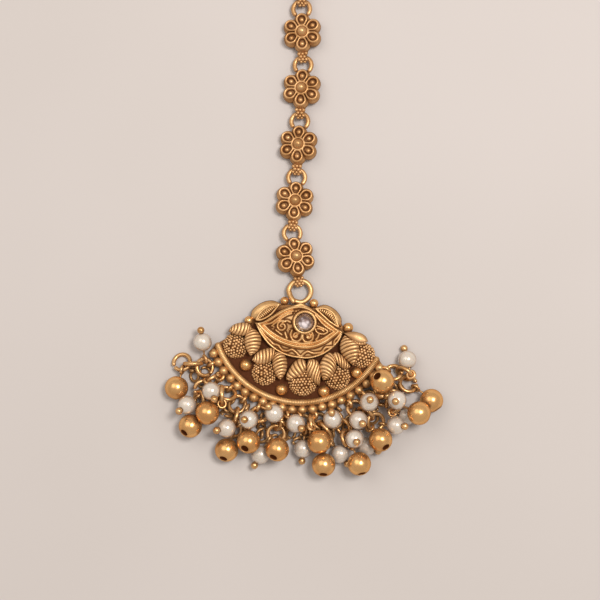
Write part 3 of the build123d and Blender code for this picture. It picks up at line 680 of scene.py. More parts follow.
def add_berry(form, centre, radius):
    """A granulated berry: rows of fine grains over a dome."""
    pitch, jitter, root, overhang = 0.56, 0.055, 0.14, 1.32
    base = np.array([*centre, ROOT_Z])
    core = radius - root
    # the core showing between the grains is darkest: oxide with painted shade
    form.add_ball(base, core, sides=40, hollow=1.0)
    form.points[-1][:, 2] = np.maximum(form.points[-1][:, 2], PLATE_TOP - 0.1)
    turn = chance.uniform(0, math.pi)
    rows = int(radius * 1.5 / pitch) + 2
    for i in range(-rows, rows + 1):
        for j in range(-rows, rows + 1):
            u = (i + 0.5 * (j % 2)) * pitch + chance.normal(0, jitter)
            v = j * pitch * 0.87 + chance.normal(0, jitter)
            u, v = u * math.cos(turn) - v * math.sin(turn), u * math.sin(turn) + v * math.cos(turn)
            flat = math.hypot(u, v)
            if flat > radius * overhang:
                continue
            tilt = 2 * math.asin(min(flat / (2 * radius), 1.0))
            out = math.sin(tilt) / max(flat, 1e-6)
            way = np.array([u * out, v * out, math.cos(tilt)])
            place, size = base + way * (core + chance.uniform(0.05, 0.13)), chance.uniform(0.21, 0.28)
            # each grain gets painted shade on its lower part
            form.add_ball(place, size, axes_about(way), 12, hollow=chance.uniform(0.0, 0.1),
                          low_shade=1.1, dusk=0.4)


# buds: berry centre and radius, then for each leaf its outer edge, its edge over the berry, its height,
# and its cords with their slant and bow
BUDS = [
    ((-10.35, -6.2), 2.05, [
        ([(-11.75, -3.85), (-11.3, -3.0), (-10.6, -2.45), (-9.5, -2.15), (-8.5, -2.2), (-7.9, -2.7)],
         [(-11.75, -3.85), (-10.8, -4.2), (-9.85, -4.4), (-8.95, -4.3), (-8.35, -3.95), (-7.9, -2.7)],
         2.95, 8, 1.0, 0.3),
        ([(-8.1, -2.8), (-7.0, -3.3), (-6.25, -4.2), (-6.1, -5.2), (-6.35, -6.3), (-6.95, -7.06),
          (-7.7, -7.6)],
         [(-8.1, -2.8), (-8.8, -4.05), (-8.95, -5.18), (-8.7, -6.15), (-8.25, -6.95), (-7.7, -7.6)],
         3.2, 10, -0.35, -0.5)]),
    ((-5.15, -10.2), 2.1, [
        ([(-7.45, -8.25), (-6.85, -7.1), (-5.8, -6.3), (-4.6, -5.95), (-3.85, -6.05), (-3.55, -6.64)],
         [(-7.45, -8.25), (-6.56, -8.75), (-5.48, -8.78), (-4.5, -8.4), (-3.9, -7.8), (-3.55, -6.64)],
         2.95, 9, 0.5, 0.2),
        ([(-3.65, -6.5), (-2.64, -6.55), (-1.75, -7.3), (-1.45, -8.27), (-1.5, -9.5), (-1.9, -10.5),
          (-2.39, -11.15)],
         [(-3.65, -6.5), (-3.98, -7.76), (-3.95, -8.84), (-3.55, -9.9), (-3.0, -10.7), (-2.39, -11.15)],
         3.2, 10, -0.15, -0.6)]),
    ((1.35, -11.1), 2.4, [
        ([(1.72, -8.5), (1.45, -7.6), (0.5, -7.3), (-0.46, -8.0), (-1.13, -9.2), (-1.5, -10.29),
          (-1.4, -11.05)],
         [(1.72, -8.5), (1.55, -9.5), (0.85, -10.2), (-0.11, -10.68), (-0.75, -10.98), (-1.4, -11.05)],
         3.2, 8, 0.4, 0.3),
        ([(1.95, -7.35), (2.83, -7.15), (3.7, -7.62), (4.12, -8.91), (4.28, -10.23), (4.2, -11.6)],
         [(1.95, -7.35), (1.72, -8.56), (1.85, -9.5), (2.5, -10.35), (3.22, -11.0), (4.2, -11.6)],
         3.1, 7, -1.5, 0.2)]),
    ((7.05, -9.85), 2.15, [
        ([(6.65, -7.5), (6.27, -6.3), (5.33, -5.85), (4.42, -6.6), (3.93, -7.8), (4.03, -8.91),
          (4.34, -9.94), (4.7, -10.6)],
         [(6.65, -7.5), (6.7, -8.5), (6.28, -9.5), (5.54, -10.25), (4.7, -10.6)], 3.2, 10, 1.2, -0.4),
        ([(6.57, -7.24), (5.97, -6.2), (6.38, -5.68), (7.28, -6.0), (8.25, -6.82), (8.85, -7.5),
          (9.1, -7.95)],
         [(6.57, -7.24), (7.0, -7.8), (7.71, -8.24), (8.49, -8.34), (9.1, -7.95)], 2.95, 8, 0.15, 0.3)]),
    ((10.9, -5.85), 2.1, [
        ([(7.56, -2.7), (7.03, -3.9), (7.03, -5.13), (7.5, -6.09), (8.45, -6.98), (9.5, -7.75)],
         [(7.56, -2.7), (8.85, -3.35), (9.95, -4.02), (10.28, -4.96), (10.18, -5.97), (9.88, -6.86),
          (9.5, -7.75)],
         3.2, 10, 0.15, -0.4),
        ([(7.45, -2.42), (8.19, -2.18), (9.07, -2.03), (10.4, -2.25), (11.2, -2.75), (11.6, -3.45)],
         [(7.45, -2.42), (8.26, -3.07), (9.08, -3.55), (9.83, -3.87), (10.7, -3.87), (11.6, -3.45)],
         3.0, 0, 0.0, 0.0)]),
]
# beads along the hem of the one smooth leaf
HEM_BEADS, HEM_Z = [(9.02, -3.5), (9.49, -3.75), (10.01, -3.9), (10.51, -3.88), (11.0, -3.7)], 2.45


def make_buds():
    """Five opening buds round the plaque: a granulated berry held by corded leaves."""
    for number, (centre, radius, leaves) in enumerate(BUDS, 1):
        bud = Form()
        add_berry(bud, centre, radius)
        for outer, inner, height, ribs, slant, bow in leaves:
            bud.add_mound(outer, inner, height, ribs, slant, bow, depth=0.25, ledge=2.1, steep=0.22, lean=0.3)
            if ribs:
                continue
            bud.hollows[-1] = np.maximum(bud.hollows[-1], 0.42)
            for x, y in smooth_line(HEM_BEADS, 6):
                # painted shade on each hem bead's lower part
                bud.add_ball((x, y, HEM_Z), 0.3, axes_about((0.2, -1.0, 0.1)), 14, flat=1.25, low_shade=0.5)
        bud.make(f"bud_{number}", bud_gold, "pendant_gold", "pendant")


# plain balls: place and radius
STUDS = [(-8.38, -9.2, 1.0), (-2.04, -12.75, 1.0), (5.03, -12.42, 1.0), (10.2, -8.82, 0.95),
         (-8.5, -1.75, 0.75), (8.1, -1.5, 0.85), (-2.85, 2.05, 0.7), (2.05, 2.05, 0.75)]


def make_studs():
    """Plain balls soldered between the buds and along the crown."""
    studs = Form()
    for x, y, radius in STUDS:
        # painted shade on each stud's lower half
        studs.add_ball((x, y, PLATE_TOP + radius / 3), radius, sides=40, low_shade=0.9)
    studs.make("round_studs", ball_gold, "pendant_gold", "pendant")


# side leaves: the shell's two edges, then the two edges of the almond groove along its front
SIDE_LEAVES = [
    ([(-8.3, -1.5), (-8.05, 0.1), (-6.6, 1.45), (-4.9, 1.95), (-3.2, 1.5)],
     [(-8.3, -1.5), (-6.9, -1.5), (-5.4, -0.6), (-3.9, 0.7), (-3.2, 1.5)],
     [(-7.25, -1.5), (-6.75, -0.35), (-5.5, 0.85), (-3.75, 1.35)],
     [(-7.25, -1.5), (-6.3, -1.35), (-4.9, -0.35), (-3.75, 1.35)]),
    ([(2.3, 1.4), (3.9, 2.0), (5.6, 1.4), (6.8, 0.1), (7.0, -1.4)],
     [(2.3, 1.4), (3.2, 0.6), (4.6, -0.3), (6.0, -1.3), (7.0, -1.4)],
     [(2.45, 1.2), (4.0, 1.35), (5.5, 0.55), (6.45, -1.5)],
     [(2.45, 1.2), (3.6, 0.3), (5.0, -0.75), (6.45, -1.5)]),
]


def make_side_leaves():
    """Two leaves behind the plaque: a smooth shell with a rimmed, ribbed groove along its front."""
    count, shell_z, groove_z, rail_z, rail_wire, bar_wire = 60, 2.35, 2.36, 2.4, 0.17, 0.145
    bar_rise = [(0.12, 2.42), (0.5, 2.5), (0.75, 2.42)]
    leaves = Form()
    for upper, lower, _, _ in SIDE_LEAVES:
        leaves.add_mound(upper, lower, shell_z, steep=0.4)
    for _, _, upper, lower in SIDE_LEAVES:
        leaves.add_mound(upper, lower, groove_z, steep=0.12, cols=24)
        # the groove's floor: oxide with painted shade
        leaves.hollows[-1] = np.full(len(leaves.points[-1]), 0.9)
        upper, lower = smooth_line(upper, count), smooth_line(lower, count)
        rail = np.vstack([upper, lower[-2:0:-1]])
        leaves.add_tube(np.column_stack([rail, np.full(len(rail), rail_z)]), rail_wire, 12, closed=True)
        for k in range(5, count - 6, 4):
            start, end = upper[k], lower[k + 2]
            bar = [[*(start + (end - start) * share), z] for share, z in bar_rise]
            leaves.add_tube(smooth_line(bar, 7), bar_wire, 8)
    leaves.make("side_leaves", pendant_gold, "pendant_gold", "pendant")


def curl(centre, radius, start, turns, grow=0.75, count=40):
    """A spiral that winds in from its outer end."""
    t = np.linspace(0, 1, count)
    angle = math.radians(start) + 2 * math.pi * turns * t
    reach = radius * (1 - grow * t)
    return np.column_stack([centre[0] + reach * np.cos(angle), centre[1] + reach * np.sin(angle)])


# edges of the plaque, from its left tip to its right
PLAQUE_LOWER = [(-7.6, -1.95), (-6.9, -3.2), (-6.2, -4.2), (-5.0, -5.45), (-3.5, -6.45), (-1.8, -7.1),
                (0.0, -7.35), (2.0, -7.3), (4.0, -6.6), (5.3, -5.7), (6.3, -4.7), (7.05, -3.5), (7.4, -2.2)]
PLAQUE_UPPER = [(-7.6, -1.95), (-6.2, -1.6), (-4.7, -0.5), (-3.4, 0.5), (-2.0, 1.25), (-0.9, 1.7),
                (-0.2, 2.05), (0.7, 1.75), (1.9, 1.15), (3.0, 0.5), (4.2, -0.3), (5.4, -1.15), (6.5, -1.75),
                (7.4, -2.2)]
# raised lines of the plaque: points, half width, height
CHASED = [
    # double borders, below and above
    ([(-6.9, -2.15), (-5.7, -3.2), (-3.8, -4.4), (-1.7, -5.1), (0.5, -5.35), (2.6, -5.05), (4.3, -4.2),
      (5.6, -3.1), (6.5, -2.2)], 0.25, 0.42),
    ([(-6.0, -2.2), (-4.9, -3.1), (-3.3, -4.0), (-1.4, -4.6), (0.6, -4.8), (2.4, -4.5), (3.9, -3.8),
      (5.1, -2.9), (5.8, -2.3)], 0.16, 0.3),
    ([(-6.9, -2.15), (-5.3, -1.45), (-4.2, -0.6), (-3.1, 0.2), (-2.0, 0.8), (-0.8, 1.2), (0.2, 1.25),
      (1.4, 0.95), (2.5, 0.4), (3.6, -0.4), (4.7, -1.15), (5.6, -1.7), (6.5, -2.2)], 0.2, 0.38),
    ([(-6.1, -1.75), (-4.8, -0.85), (-3.7, 0.1), (-2.3, 0.95), (-0.9, 1.45), (-0.2, 1.6), (0.7, 1.4),
      (1.8, 0.85), (3.1, 0.1), (4.3, -0.75), (5.6, -1.45)], 0.11, 0.26),
    # inner corners
    ([(-6.0, -2.2), (-4.8, -1.85), (-4.0, -1.2), (-3.1, -0.4), (-2.2, 0.15), (-1.3, 0.5)], 0.14, 0.3),
    ([(-4.6, -2.3), (-4.0, -1.7), (-3.2, -0.95), (-2.3, -0.3), (-1.5, 0.05)], 0.11, 0.24),
    ([(5.8, -2.3), (4.6, -1.7), (3.6, -1.0), (2.9, -0.3), (2.4, 0.2)], 0.13, 0.28),
    # wavy band along the lower edge
    ([(-7.1, -2.2), (-6.6, -2.75), (-6.2, -3.3), (-5.6, -4.0), (-4.8, -4.65), (-4.0, -5.25), (-3.25, -5.4),
      (-2.6, -6.05), (-1.7, -6.2), (-0.9, -5.9), (-0.2, -6.3), (0.6, -6.9), (1.2, -6.3), (1.75, -6.0),
      (2.6, -6.2), (3.4, -6.1), (4.1, -5.85), (4.6, -5.1), (5.3, -4.95), (5.95, -4.75), (6.0, -3.9),
      (6.4, -3.3), (7.1, -2.3)], 0.13, 0.3),
    # leaves and sprigs of the field
    ([(2.5, -1.6), (3.4, -1.75), (4.7, -2.3), (4.2, -2.85), (3.1, -2.75), (2.6, -2.1), (2.5, -1.6)],
     0.12, 0.28),
    ([(3.0, -2.05), (3.6, -2.15), (4.1, -2.4)], 0.1, 0.22),
    ([(-2.3, -3.2), (-2.1, -3.7), (-1.9, -4.1)], 0.13, 0.26),
    ([(3.3, -3.1), (3.2, -3.5), (2.9, -3.9)], 0.13, 0.26),
    ([(-3.9, -2.9), (-3.3, -3.3), (-2.8, -3.6)], 0.1, 0.22),
    ([(-1.2, -2.7), (-1.35, -3.5), (-0.9, -4.3), (-0.1, -4.45), (0.45, -3.9), (0.55, -3.2)], 0.14, 0.32),
    ([(0.65, -3.2), (0.75, -4.0), (1.4, -4.45), (2.2, -4.1), (2.4, -3.4), (2.1, -2.7)], 0.14, 0.32),
    ([(-1.6, -1.4), (-2.1, -1.2), (-2.6, -1.35), (-2.9, -1.5)], 0.13, 0.28),
]
# scrolls of the plaque: centre, radius, start in degrees, turns, half width, height
SCROLLS = [((-2.9, -2.2), 0.95, 60, 1.35, 0.13, 0.32), ((-0.45, -3.55), 0.55, 40, 1.0, 0.12, 0.3),
           ((1.6, -3.5), 0.55, 140, -1.0, 0.12, 0.3)]
# grains of the plaque: place and radius
PLAQUE_GRAINS = [(-1.95, -1.3, 0.2), (-1.75, -0.1, 0.2), (-0.8, 0.5, 0.26), (-0.45, -3.6, 0.24),
                 (1.6, -3.55, 0.24), (-2.95, -2.25, 0.2), (-4.3, -2.4, 0.16), (2.7, 0.0, 0.16),
                 (5.1, -2.3, 0.16), (-1.6, -2.6, 0.15)]


def bell(distance, width):
    """One at no distance, falling off smoothly over the width."""
    return np.exp(-(distance / width) ** 2)


def make_plaque():
    """Eye-shaped plaque, chased with double borders, a wavy border and scrolls."""
    columns, rows, foot = 270, 170, PLATE_TOP - 0.1
    left, length, crowding = -7.6, 15.0, 0.35
    edge_high, edge_at, edge_groove_at, edge_groove_wide = 0.34, 0.24, 0.52, 0.09
    groove_off, groove_wide, grain_rise = 0.06, 0.12, 1.5

    low, high = smooth_line(PLAQUE_LOWER, 300), smooth_line(PLAQUE_UPPER, 300)
    along = np.linspace(0, 1, columns)
    across = left + length * (crowding * (1 - np.cos(math.pi * along)) / 2 + (1 - crowding) * along)
    bottom, top = np.interp(across, low[:, 0], low[:, 1]), np.interp(across, high[:, 0], high[:, 1])
    x = np.repeat(across[:, None], rows, axis=1)
    y = bottom[:, None] + (top - bottom)[:, None] * np.linspace(0, 1, rows)[None, :]
    edge = np.minimum(distance_to_line(x, y, low[::3]), distance_to_line(x, y, high[::3]))

    ground = 2.12 + 0.42 * np.clip(1 - (x / 7.6) ** 2 - ((y + 2.6) / 4.9) ** 2, 0, 1)
    relief = edge_high * np.sqrt(np.clip(1 - ((edge - edge_at) / edge_at) ** 2, 0, 1))
    groove = bell(edge - edge_groove_at, edge_groove_wide)
    lines = [(smooth_line(points, max(12, len(points) * 7)), width, height)
             for points, width, height in CHASED]
    lines += [(curl(*shape), width, height) for *shape, width, height in SCROLLS]
    for line, width, height in lines:
        away = distance_to_line(x, y, line)
        wide, tall = 1.25 * width + 0.06, 0.8 * height + 0.16
        relief = np.maximum(relief, tall * np.clip(1 - (away / wide) ** 2, 0, 1) ** 0.7)
        groove = np.maximum(groove, bell(away - wide - groove_off, groove_wide))
    for grain_x, grain_y, radius in PLAQUE_GRAINS:
        away = np.hypot(x - grain_x, y - grain_y)
        relief = np.maximum(relief, grain_rise * np.sqrt(np.clip(radius**2 - away**2, 0, None)))

    near = np.clip(edge / 0.22, 0, 1)
    z = foot + (ground + relief - foot) * np.sqrt(1 - (1 - near) ** 2)
    field = np.clip(1.15 - ((x + 0.1) / 6.0) ** 2 - ((y + 2.1) / 3.0) ** 2, 0, 1) ** 0.5
    # oxide with painted shade in the grooves beside the ridges, darker in the middle field, and painted shade
    # down the falling edge and wall
    shade = np.clip(1 - relief / 0.2, 0, 1) * (0.25 + 0.16 * field + 0.58 * groove) + 0.3 * (1 - near)
    under = np.dstack([x, y, np.full_like(x, foot)])[:, ::-8]
    plaque = Form()
    plaque.add(np.concatenate([np.dstack([x, y, z]), under], 1),
               lattice(columns, rows + under.shape[1], wrap_cols=True),
               np.concatenate([shade, np.ones(under.shape[:2])], 1))
    plaque.make("eye_plaque", pendant_gold, "pendant_gold", "pendant")


def make_bezel():
    """Rolled collar round the stone."""
    rows = [(2.25, 1.9, 0.9), (2.2, 2.5, 0.7), (2.05, 2.85, 0.5)]
    rows += [(1.76 + 0.24 * math.cos(a), 3.25 + 0.26 * math.sin(a), 0.0) for a in np.linspace(0, math.pi, 14)]
    rows += [(1.46, 2.9, 0.6), (1.4, 1.9, 1.0)]
    bezel = Form()
    bezel.add_rows(rows, (*STONE_AT, 0.0), None, 72)
    bezel.make("stone_bezel", pendant_gold, "pendant_gold", "pendant")


# facets of the stone: lower radius and height, upper radius and height, half facets turned
FACETS = 16
FACET_BANDS = [(STONE_R, 3.35, 1.05, 3.95, 0), (1.05, 3.95, 0.55, 4.25, 1), (0.55, 4.25, 0.0, 4.28, 1),
               (0.0, SEAT_Z, STONE_R, 3.35, 0)]


def make_stone():
    """Rose-cut stone: two rings of facets round a low crown, over a pointed back."""
    half_facet = math.pi / FACETS
    stone = Form()
    for low_r, low_z, high_r, high_z, turned in FACET_BANDS:
        low_turn = full_turn(FACETS) + turned * half_facet
        high_turn = low_turn + (half_facet if high_r else 0)
        rings = [circle(np.array([*STONE_AT, z]), np.eye(3), r, a)
                 for r, z, a in ((low_r, low_z, low_turn), (high_r, high_z, high_turn))]
        stone.add(np.vstack(rings), lattice(2, FACETS, wrap_cols=True))
    piece = stone.make("cut_gem", cut_stone, "dark_stone", "stone")
    piece.data.polygons.foreach_set("use_smooth", np.zeros(len(piece.data.polygons), bool))


def make_top_loop():
    """Wire loop that carries the chain, its end crossing down to the plaque's crown."""
    points = [(-1.85, 2.55, 1.25), (-1.0, 2.12, 1.2), (0.2, 2.14, 1.1), (1.15, 3.0, 1.02), (1.38, 4.2, 1.02),
              (0.7, 5.3, 1.02), (-0.5, 5.66, 1.02), (-1.7, 5.2, 1.02), (-2.3, 4.1, 1.1), (-2.05, 3.1, 1.35),
              (-1.55, 2.3, 1.6), (-1.25, 1.7, 1.55)]
    loop = Form()
    loop.add_tube(smooth_line(points, 120), LOOP_WIRE, 16)
    loop.make("top_loop", pendant_gold, "pendant_gold", "pendant")


def wanted_rings():
    """Radius, centre and facing of each spare ring: edge loops in a row, then rings that lean at random."""
    loop_r, loop_at, loop_z, loop_span, loop_pitch = 0.45, 16.98, 0.85, 63.0, 2.1
    wanted = []
    for angle in np.arange(-loop_span, loop_span + 1, loop_pitch):
        hung = math.radians(angle - 90 + chance.uniform(60, 120))
        wanted.append((loop_r, on_rim(loop_at, angle, loop_z),
                       np.array([math.cos(hung), math.sin(hung), 0.0])))
    for _ in range(CROWD_TRIES):
        radius, lean = chance.uniform(0.55, 1.25), math.radians(chance.uniform(10, 85))
        spin = chance.uniform(0, 2 * math.pi)
        low_z = CROWD_WIRE + radius * math.sin(lean)
        centre = on_rim(chance.uniform(17.3, 21.2), chance.uniform(-60, 60), low_z)
        wanted.append((radius, centre, np.array([math.sin(lean) * math.cos(spin),
                                                 math.sin(lean) * math.sin(spin), math.cos(lean)])))
    return wanted


def crowd_rings(form, outside):
    """Spare rings crowded in under the fringe, kept where they clear what is there."""
    sunk, kept_apart = 0.22, 2 * CROWD_WIRE - 0.02
    solid = np.concatenate([node_points(name) for name in wire_names] + [outside])[::3]
    nearest = KDTree(len(solid))
    for index, point in enumerate(solid):
        nearest.insert(point, index)
    nearest.balance()
    beads = [(c, BALL_R) for c in ball_centres.values()] + [(c, PEARL_R) for c in pearl_centres.values()]
    laid, turn = [], full_turn(28)
    for radius, centre, normal in wanted_rings():
        line = circle(centre, axes_about(normal), radius, turn)
        if np.hypot(line[:, 0], line[:, 1]).min() < FLANGE_OUTER + CROWD_WIRE:
            continue
        if any(np.linalg.norm(line - c, axis=1).min() < r + CROWD_WIRE for c, r in beads):
            continue
        if any(np.linalg.norm(line[:, None] - other[None], axis=2).min() < kept_apart for other in laid):
            continue
        if any(nearest.find(point)[2] < WIRE + CROWD_WIRE - sunk for point in line):
            continue
        laid.append(line)
        # the spare rings are darker: tarnish with painted shade under the fringe
        form.add_ring(centre, normal, radius, CROWD_WIRE, 36, 9, cut=chance.uniform(0, 6), hollow=0.4)


def make_eyelets():
    """Small loops under the border that the fringe hangs from, lying as the frame's do."""
    past_flange, loop_reach = 0.25, EYE_R + 0.26
    points = node_points("pendant")
    outside = points[np.hypot(points[:, 0], points[:, 1]) > FLANGE_OUTER + past_flange]
    eyelets = Form()
    for angle in EYELETS:
        centre = on_rim(EYELET_AT, angle, EYELET_Z)
        near = outside[np.linalg.norm(outside - centre, axis=1) < loop_reach]
        eyelets.add_ring(centre, main_axes(near)[:, 0], EYE_R, WIRE, 32, 10, hollow=0.1)
    crowd_rings(eyelets, outside)
    eyelets.make("fringe_eyelets", wire_gold, "pendant_gold", "pendant")


# ------------------------------------------------------------------ chain

def turned_about(axis, degrees):
    """Matrix of a turn about the x, y or z axis."""
    a = math.radians(degrees)
    c, s = math.cos(a), math.sin(a)
    table = {"x": [[1, 0, 0], [0, c, -s], [0, s, c]], "y": [[c, 0, s], [0, 1, 0], [-s, 0, c]],
             "z": [[c, -s, 0], [s, c, 0], [0, 0, 1]]}
    return np.array(table[axis], float)


def lay_links():
    """Middle, axes and tab height of every link from the pendant up, and where the hook hangs."""
    ways = [turned_about("z", turn) @ (0.0, 1.0, 0.0) for turn, _ in LINKS]
    at = np.array([*LOOP_AT, LOOP_Z]) + ways[0] * LOOP_R
    laid = []
    for i, (turn, roll) in enumerate(LINKS):
        axes = turned_about("z", turn) @ turned_about("x", -LINK_TILT) @ turned_about("y", roll)
        slope = axes[2, :2]
        spokes = np.radians(np.arange(PETALS) * 60 + 30)
        lowest = (PETAL_AT * (np.cos(spokes) * slope[0] + np.sin(spokes) * slope[1])).min()
        low = lowest - PETAL_R * np.linalg.norm(slope)
        tab_z = (at[2] + low + TAB_AT * slope[1]) / axes[2, 2]
        middle = at + axes[:, 1] * TAB_AT - axes[:, 2] * tab_z
        laid.append((middle, axes, tab_z))
        onward = ways[min(i + 1, len(LINKS) - 1)]
        level = unit(onward - axes[:, 2] * (onward @ axes[:, 2]))
        at = middle + axes @ (0.0, LINK_RING_AT, LINK_RING_Z) + level * LINK_RING_R
    return laid, at


def add_petal(form, middle, axes, angle):
    """One cup of a flower: outer wall, flat where it meets its neighbours, rolled lip, deep hollow."""
    count, join, lip_z, lip_rise = 44, 1.04, 1.58, 0.3
    turn = full_turn(count)
    outer = np.full(count, PETAL_R)
    for side in (120, -120):
        lean = np.cos(turn - math.radians(side))
        outer = np.minimum(outer, np.where(lean > 0.3, join / np.maximum(lean, 0.3), 9.0))
    inner = (0.7 + 0.07 * np.cos(2 * turn)) * np.minimum(1.0, (outer / PETAL_R) ** 0.3)
    mouth = np.minimum(outer - 0.12, inner + 0.4)
    lip_at, lip_half = (mouth + inner) / 2, (mouth - inner) / 2
    # radius, height, hollow: oxide with painted shade, darkest down the cup's inside
    rows = [(outer * 0.0, 0.0, 0.4), (outer - 0.2, 0.0, 0.4), (outer - 0.02, 0.1, 0.3),
            (outer + 0.03, 0.35, 0.25), (outer - 0.01, 0.85, 0.15), ((outer * 2 + mouth) / 3, 1.2, 0.25),
            (mouth + 0.01, 1.42, 0.35)]
    rows += [(lip_at + lip_half * math.cos(a), lip_z + lip_rise * math.sin(a), 0.0)
             for a in np.linspace(0.15, math.pi - 0.2, 8)]
    rows += [(inner - 0.02, 1.5, 0.75), (inner - 0.05, 1.36, 0.95), (inner * 0.8, 1.27, 0.7),
             (inner * 0.6, 1.24, 0.6), (inner * 0.0, 1.22, 0.6)]
    centre = PETAL_AT * np.array([math.cos(angle), math.sin(angle), 0.0])
    cup = [np.column_stack([centre[0] + radius * np.cos(turn + angle),
                            centre[1] + radius * np.sin(turn + angle), np.full(count, z)])
           for radius, z, _ in rows]
    form.add(middle + np.array(cup) @ axes.T, lattice(len(rows), count, wrap_cols=True),
             np.repeat([[hollow] for _, _, hollow in rows], count, axis=1))
    # painted shade on the grain's lower part
    form.add_ball(middle + axes @ (centre * 1.03 + (0, 0, 1.3)), 0.46, axes, 22, low_shade=0.9, dusk=0.35)


# a flower's domed boss in its collar, and the core under it: radius, height, hollow
BOSS = [(1.3, 1.1, 1.0), (1.27, 1.55, 0.7), (1.2, 1.78, 0.3), (1.1, 1.88, 0.1), (1.0, 1.9, 0.05),
        (0.92, 1.85, 0.5), (0.88, 1.8, 0.8), (0.84, 1.88, 0.5), (0.78, 2.05, 0.15), (0.66, 2.32, 0.1),
        (0.5, 2.52, 0.05), (0.28, 2.68, 0.0), (0.0, 2.74, 0.0)]
CORE = [(0.0, 0.0, 0.6), (1.5, 0.0, 0.6), (1.6, 0.1, 0.6), (1.6, 1.2, 0.6), (0.0, 1.2, 0.6)]


def make_flower(number, middle, axes, tab_z):
    """A flower of six cups round a boss, its ring, and the grained tab round the ring below."""
    ring_ends, tab_grain_r = (-52, 232), 0.93

    def at(x, y, z):
        return middle + axes @ (x, y, z)

    flower = Form()
    for k in range(PETALS):
        add_petal(flower, middle, axes, math.radians(90 + 60 * k))
    flower.add_rows(BOSS, middle, axes, 48)
    flower.add_rows(CORE, middle, axes, 36)
    ring = circle(at(0, LINK_RING_AT, LINK_RING_Z), axes, LINK_RING_R - 0.05,
                  np.radians(np.linspace(*ring_ends, 60)))
    flower.add_tube(ring, LINK_WIRE, 14, facing=axes[:, 2], hollow=0.05)
    for x in (-0.42, 0.0, 0.42):
        flower.add_ring(at(x, -TAB_AT, tab_z), axes[:, 0], TAB_R - 0.02, 0.22, 30, 10, hollow=0.5)
    for row, turn in enumerate((18, 48, 78, 108, 138, 164)):
        for x in (-0.58, 0.0, 0.58) if row % 2 else (-0.3, 0.3):
            a = math.radians(turn + chance.normal(0, 2))
            place = at(x, -TAB_AT - tab_grain_r * math.cos(a), tab_z + tab_grain_r * math.sin(a))
            way = axes @ (x * 0.5, -math.cos(a), math.sin(a))
            # painted shade on each grain's lower half
            flower.add_ball(place, chance.uniform(0.28, 0.33), axes_about(way), 16, low_shade=0.9)
    flower.make(f"flower_{number}", link_gold, "link_gold", f"flower_link_{number}")


def make_hook(at):
    """Hair hook: an eye round the last ring, a straight shank, a bend back and a ball end."""
    binds, bind_at, bind_pitch, bind_wire = 4, 0.45, 0.36, 0.17
    dip = math.degrees(math.asin((at[2] - HOOK_WIRE) / (HOOK_SHANK + HOOK_BEND)))
    axes = turned_about("z", LINKS[-1][0]) @ turned_about("x", -dip)
    end = HOOK_SHANK - HOOK_RETURN
    line = [(0, y) for y in np.linspace(TAB_R - 0.1, HOOK_SHANK, 40)[:-1]]
    line += [(HOOK_BEND + HOOK_BEND * math.cos(a), HOOK_SHANK + HOOK_BEND * math.sin(a))
             for a in np.linspace(math.pi, 0, 24)]
    line += [(2 * HOOK_BEND, y) for y in np.linspace(HOOK_SHANK, end, 24)[1:]]
    local = np.column_stack([np.array(line), np.zeros(len(line))])
    hook = Form()
    hook.add_tube(at + local @ axes.T, HOOK_WIRE, 18, facing=axes[:, 2])
    hook.add_ring(at, axes[:, 0], TAB_R, TAB_WIRE, 40, 12)
    for k in range(binds):
        bind = at + axes @ (0, TAB_R + bind_at + bind_pitch * k, 0)
        hook.add_ring(bind, axes[:, 1], HOOK_WIRE + 0.06, bind_wire, 30, 8, hollow=0.1)
    hook.add_ball(at + axes @ (2 * HOOK_BEND, end, 0), HOOK_END, axes, 36)
    hook.make("hook_form", hook_gold, "hook_gold", "hair_hook")


# ------------------------------------------------------------------ fringe

def ball_rows():
    """Profile of a hollow ball, from its inside out over the rolled lip of its hole, with its hollows."""
    wall, lip, floor_shade, skin_shade = 0.3, 0.1, 1.0, 0.35
    inside, mouth = BALL_R - wall, BALL_HOLE + lip
    lip_z = math.sqrt(BALL_R**2 - mouth**2) - lip
    edge = math.asin(mouth / BALL_R)
    rows = [(inside * math.sin(a), inside * math.cos(a), floor_shade)
            for a in np.linspace(math.pi, math.asin(BALL_HOLE / inside), 14)]
    rows += [(mouth + lip * math.cos(a), lip_z + lip * math.sin(a),
              1.0 if a > 3.4 else 0.55 if a > 2.4 else 0.15)
             for a in np.linspace(1.25 * math.pi, 0.5 * math.pi, 7)]
    rows += [(BALL_R * math.sin(a), BALL_R * math.cos(a), skin_shade if a < edge + 0.1 else 0.0)
             for a in np.linspace(edge + 0.06, math.pi, 44)]
    rows = np.array(rows)
    rows[[0, -1], 0] = 0
    return rows


def add_dimple(form, centre, way):
    """Sinks the outer skin of a hollow ball where its pin goes in."""
    reach, depth = 0.33, 0.26
    skin = form.points[0]
    away = np.linalg.norm(skin - centre, axis=1)
    out = (skin - centre) / away[:, None]
    sink = np.clip(1 - np.arccos(np.clip(out @ way, -1, 1)) / reach, 0, 1)
    sink = np.where(away > BALL_R - 0.02, sink, 0.0)
    skin -= out * (depth * np.clip(sink * 2.2, 0, 1) ** 2)[:, None]
    form.hollows[0] = np.maximum(form.hollows[0], np.clip(sink * 2.6, 0, 1))


def make_gold_balls(pins):
    """Hollow balls, each with a rolled lip round its open hole and a dimple where its pin goes in."""
    rows = ball_rows()
    for name, centre in ball_centres.items():
        ball = Form()
        ball.add_rows(rows, centre, axes_about(faces_way(*BALL_HOLES[name])), 64)
        if name in pins:
            add_dimple(ball, centre, unit(pins[name] - centre))
        ball.make(f"ball_{name}", ball_gold, "ball_gold", f"gold_ball_{name}")


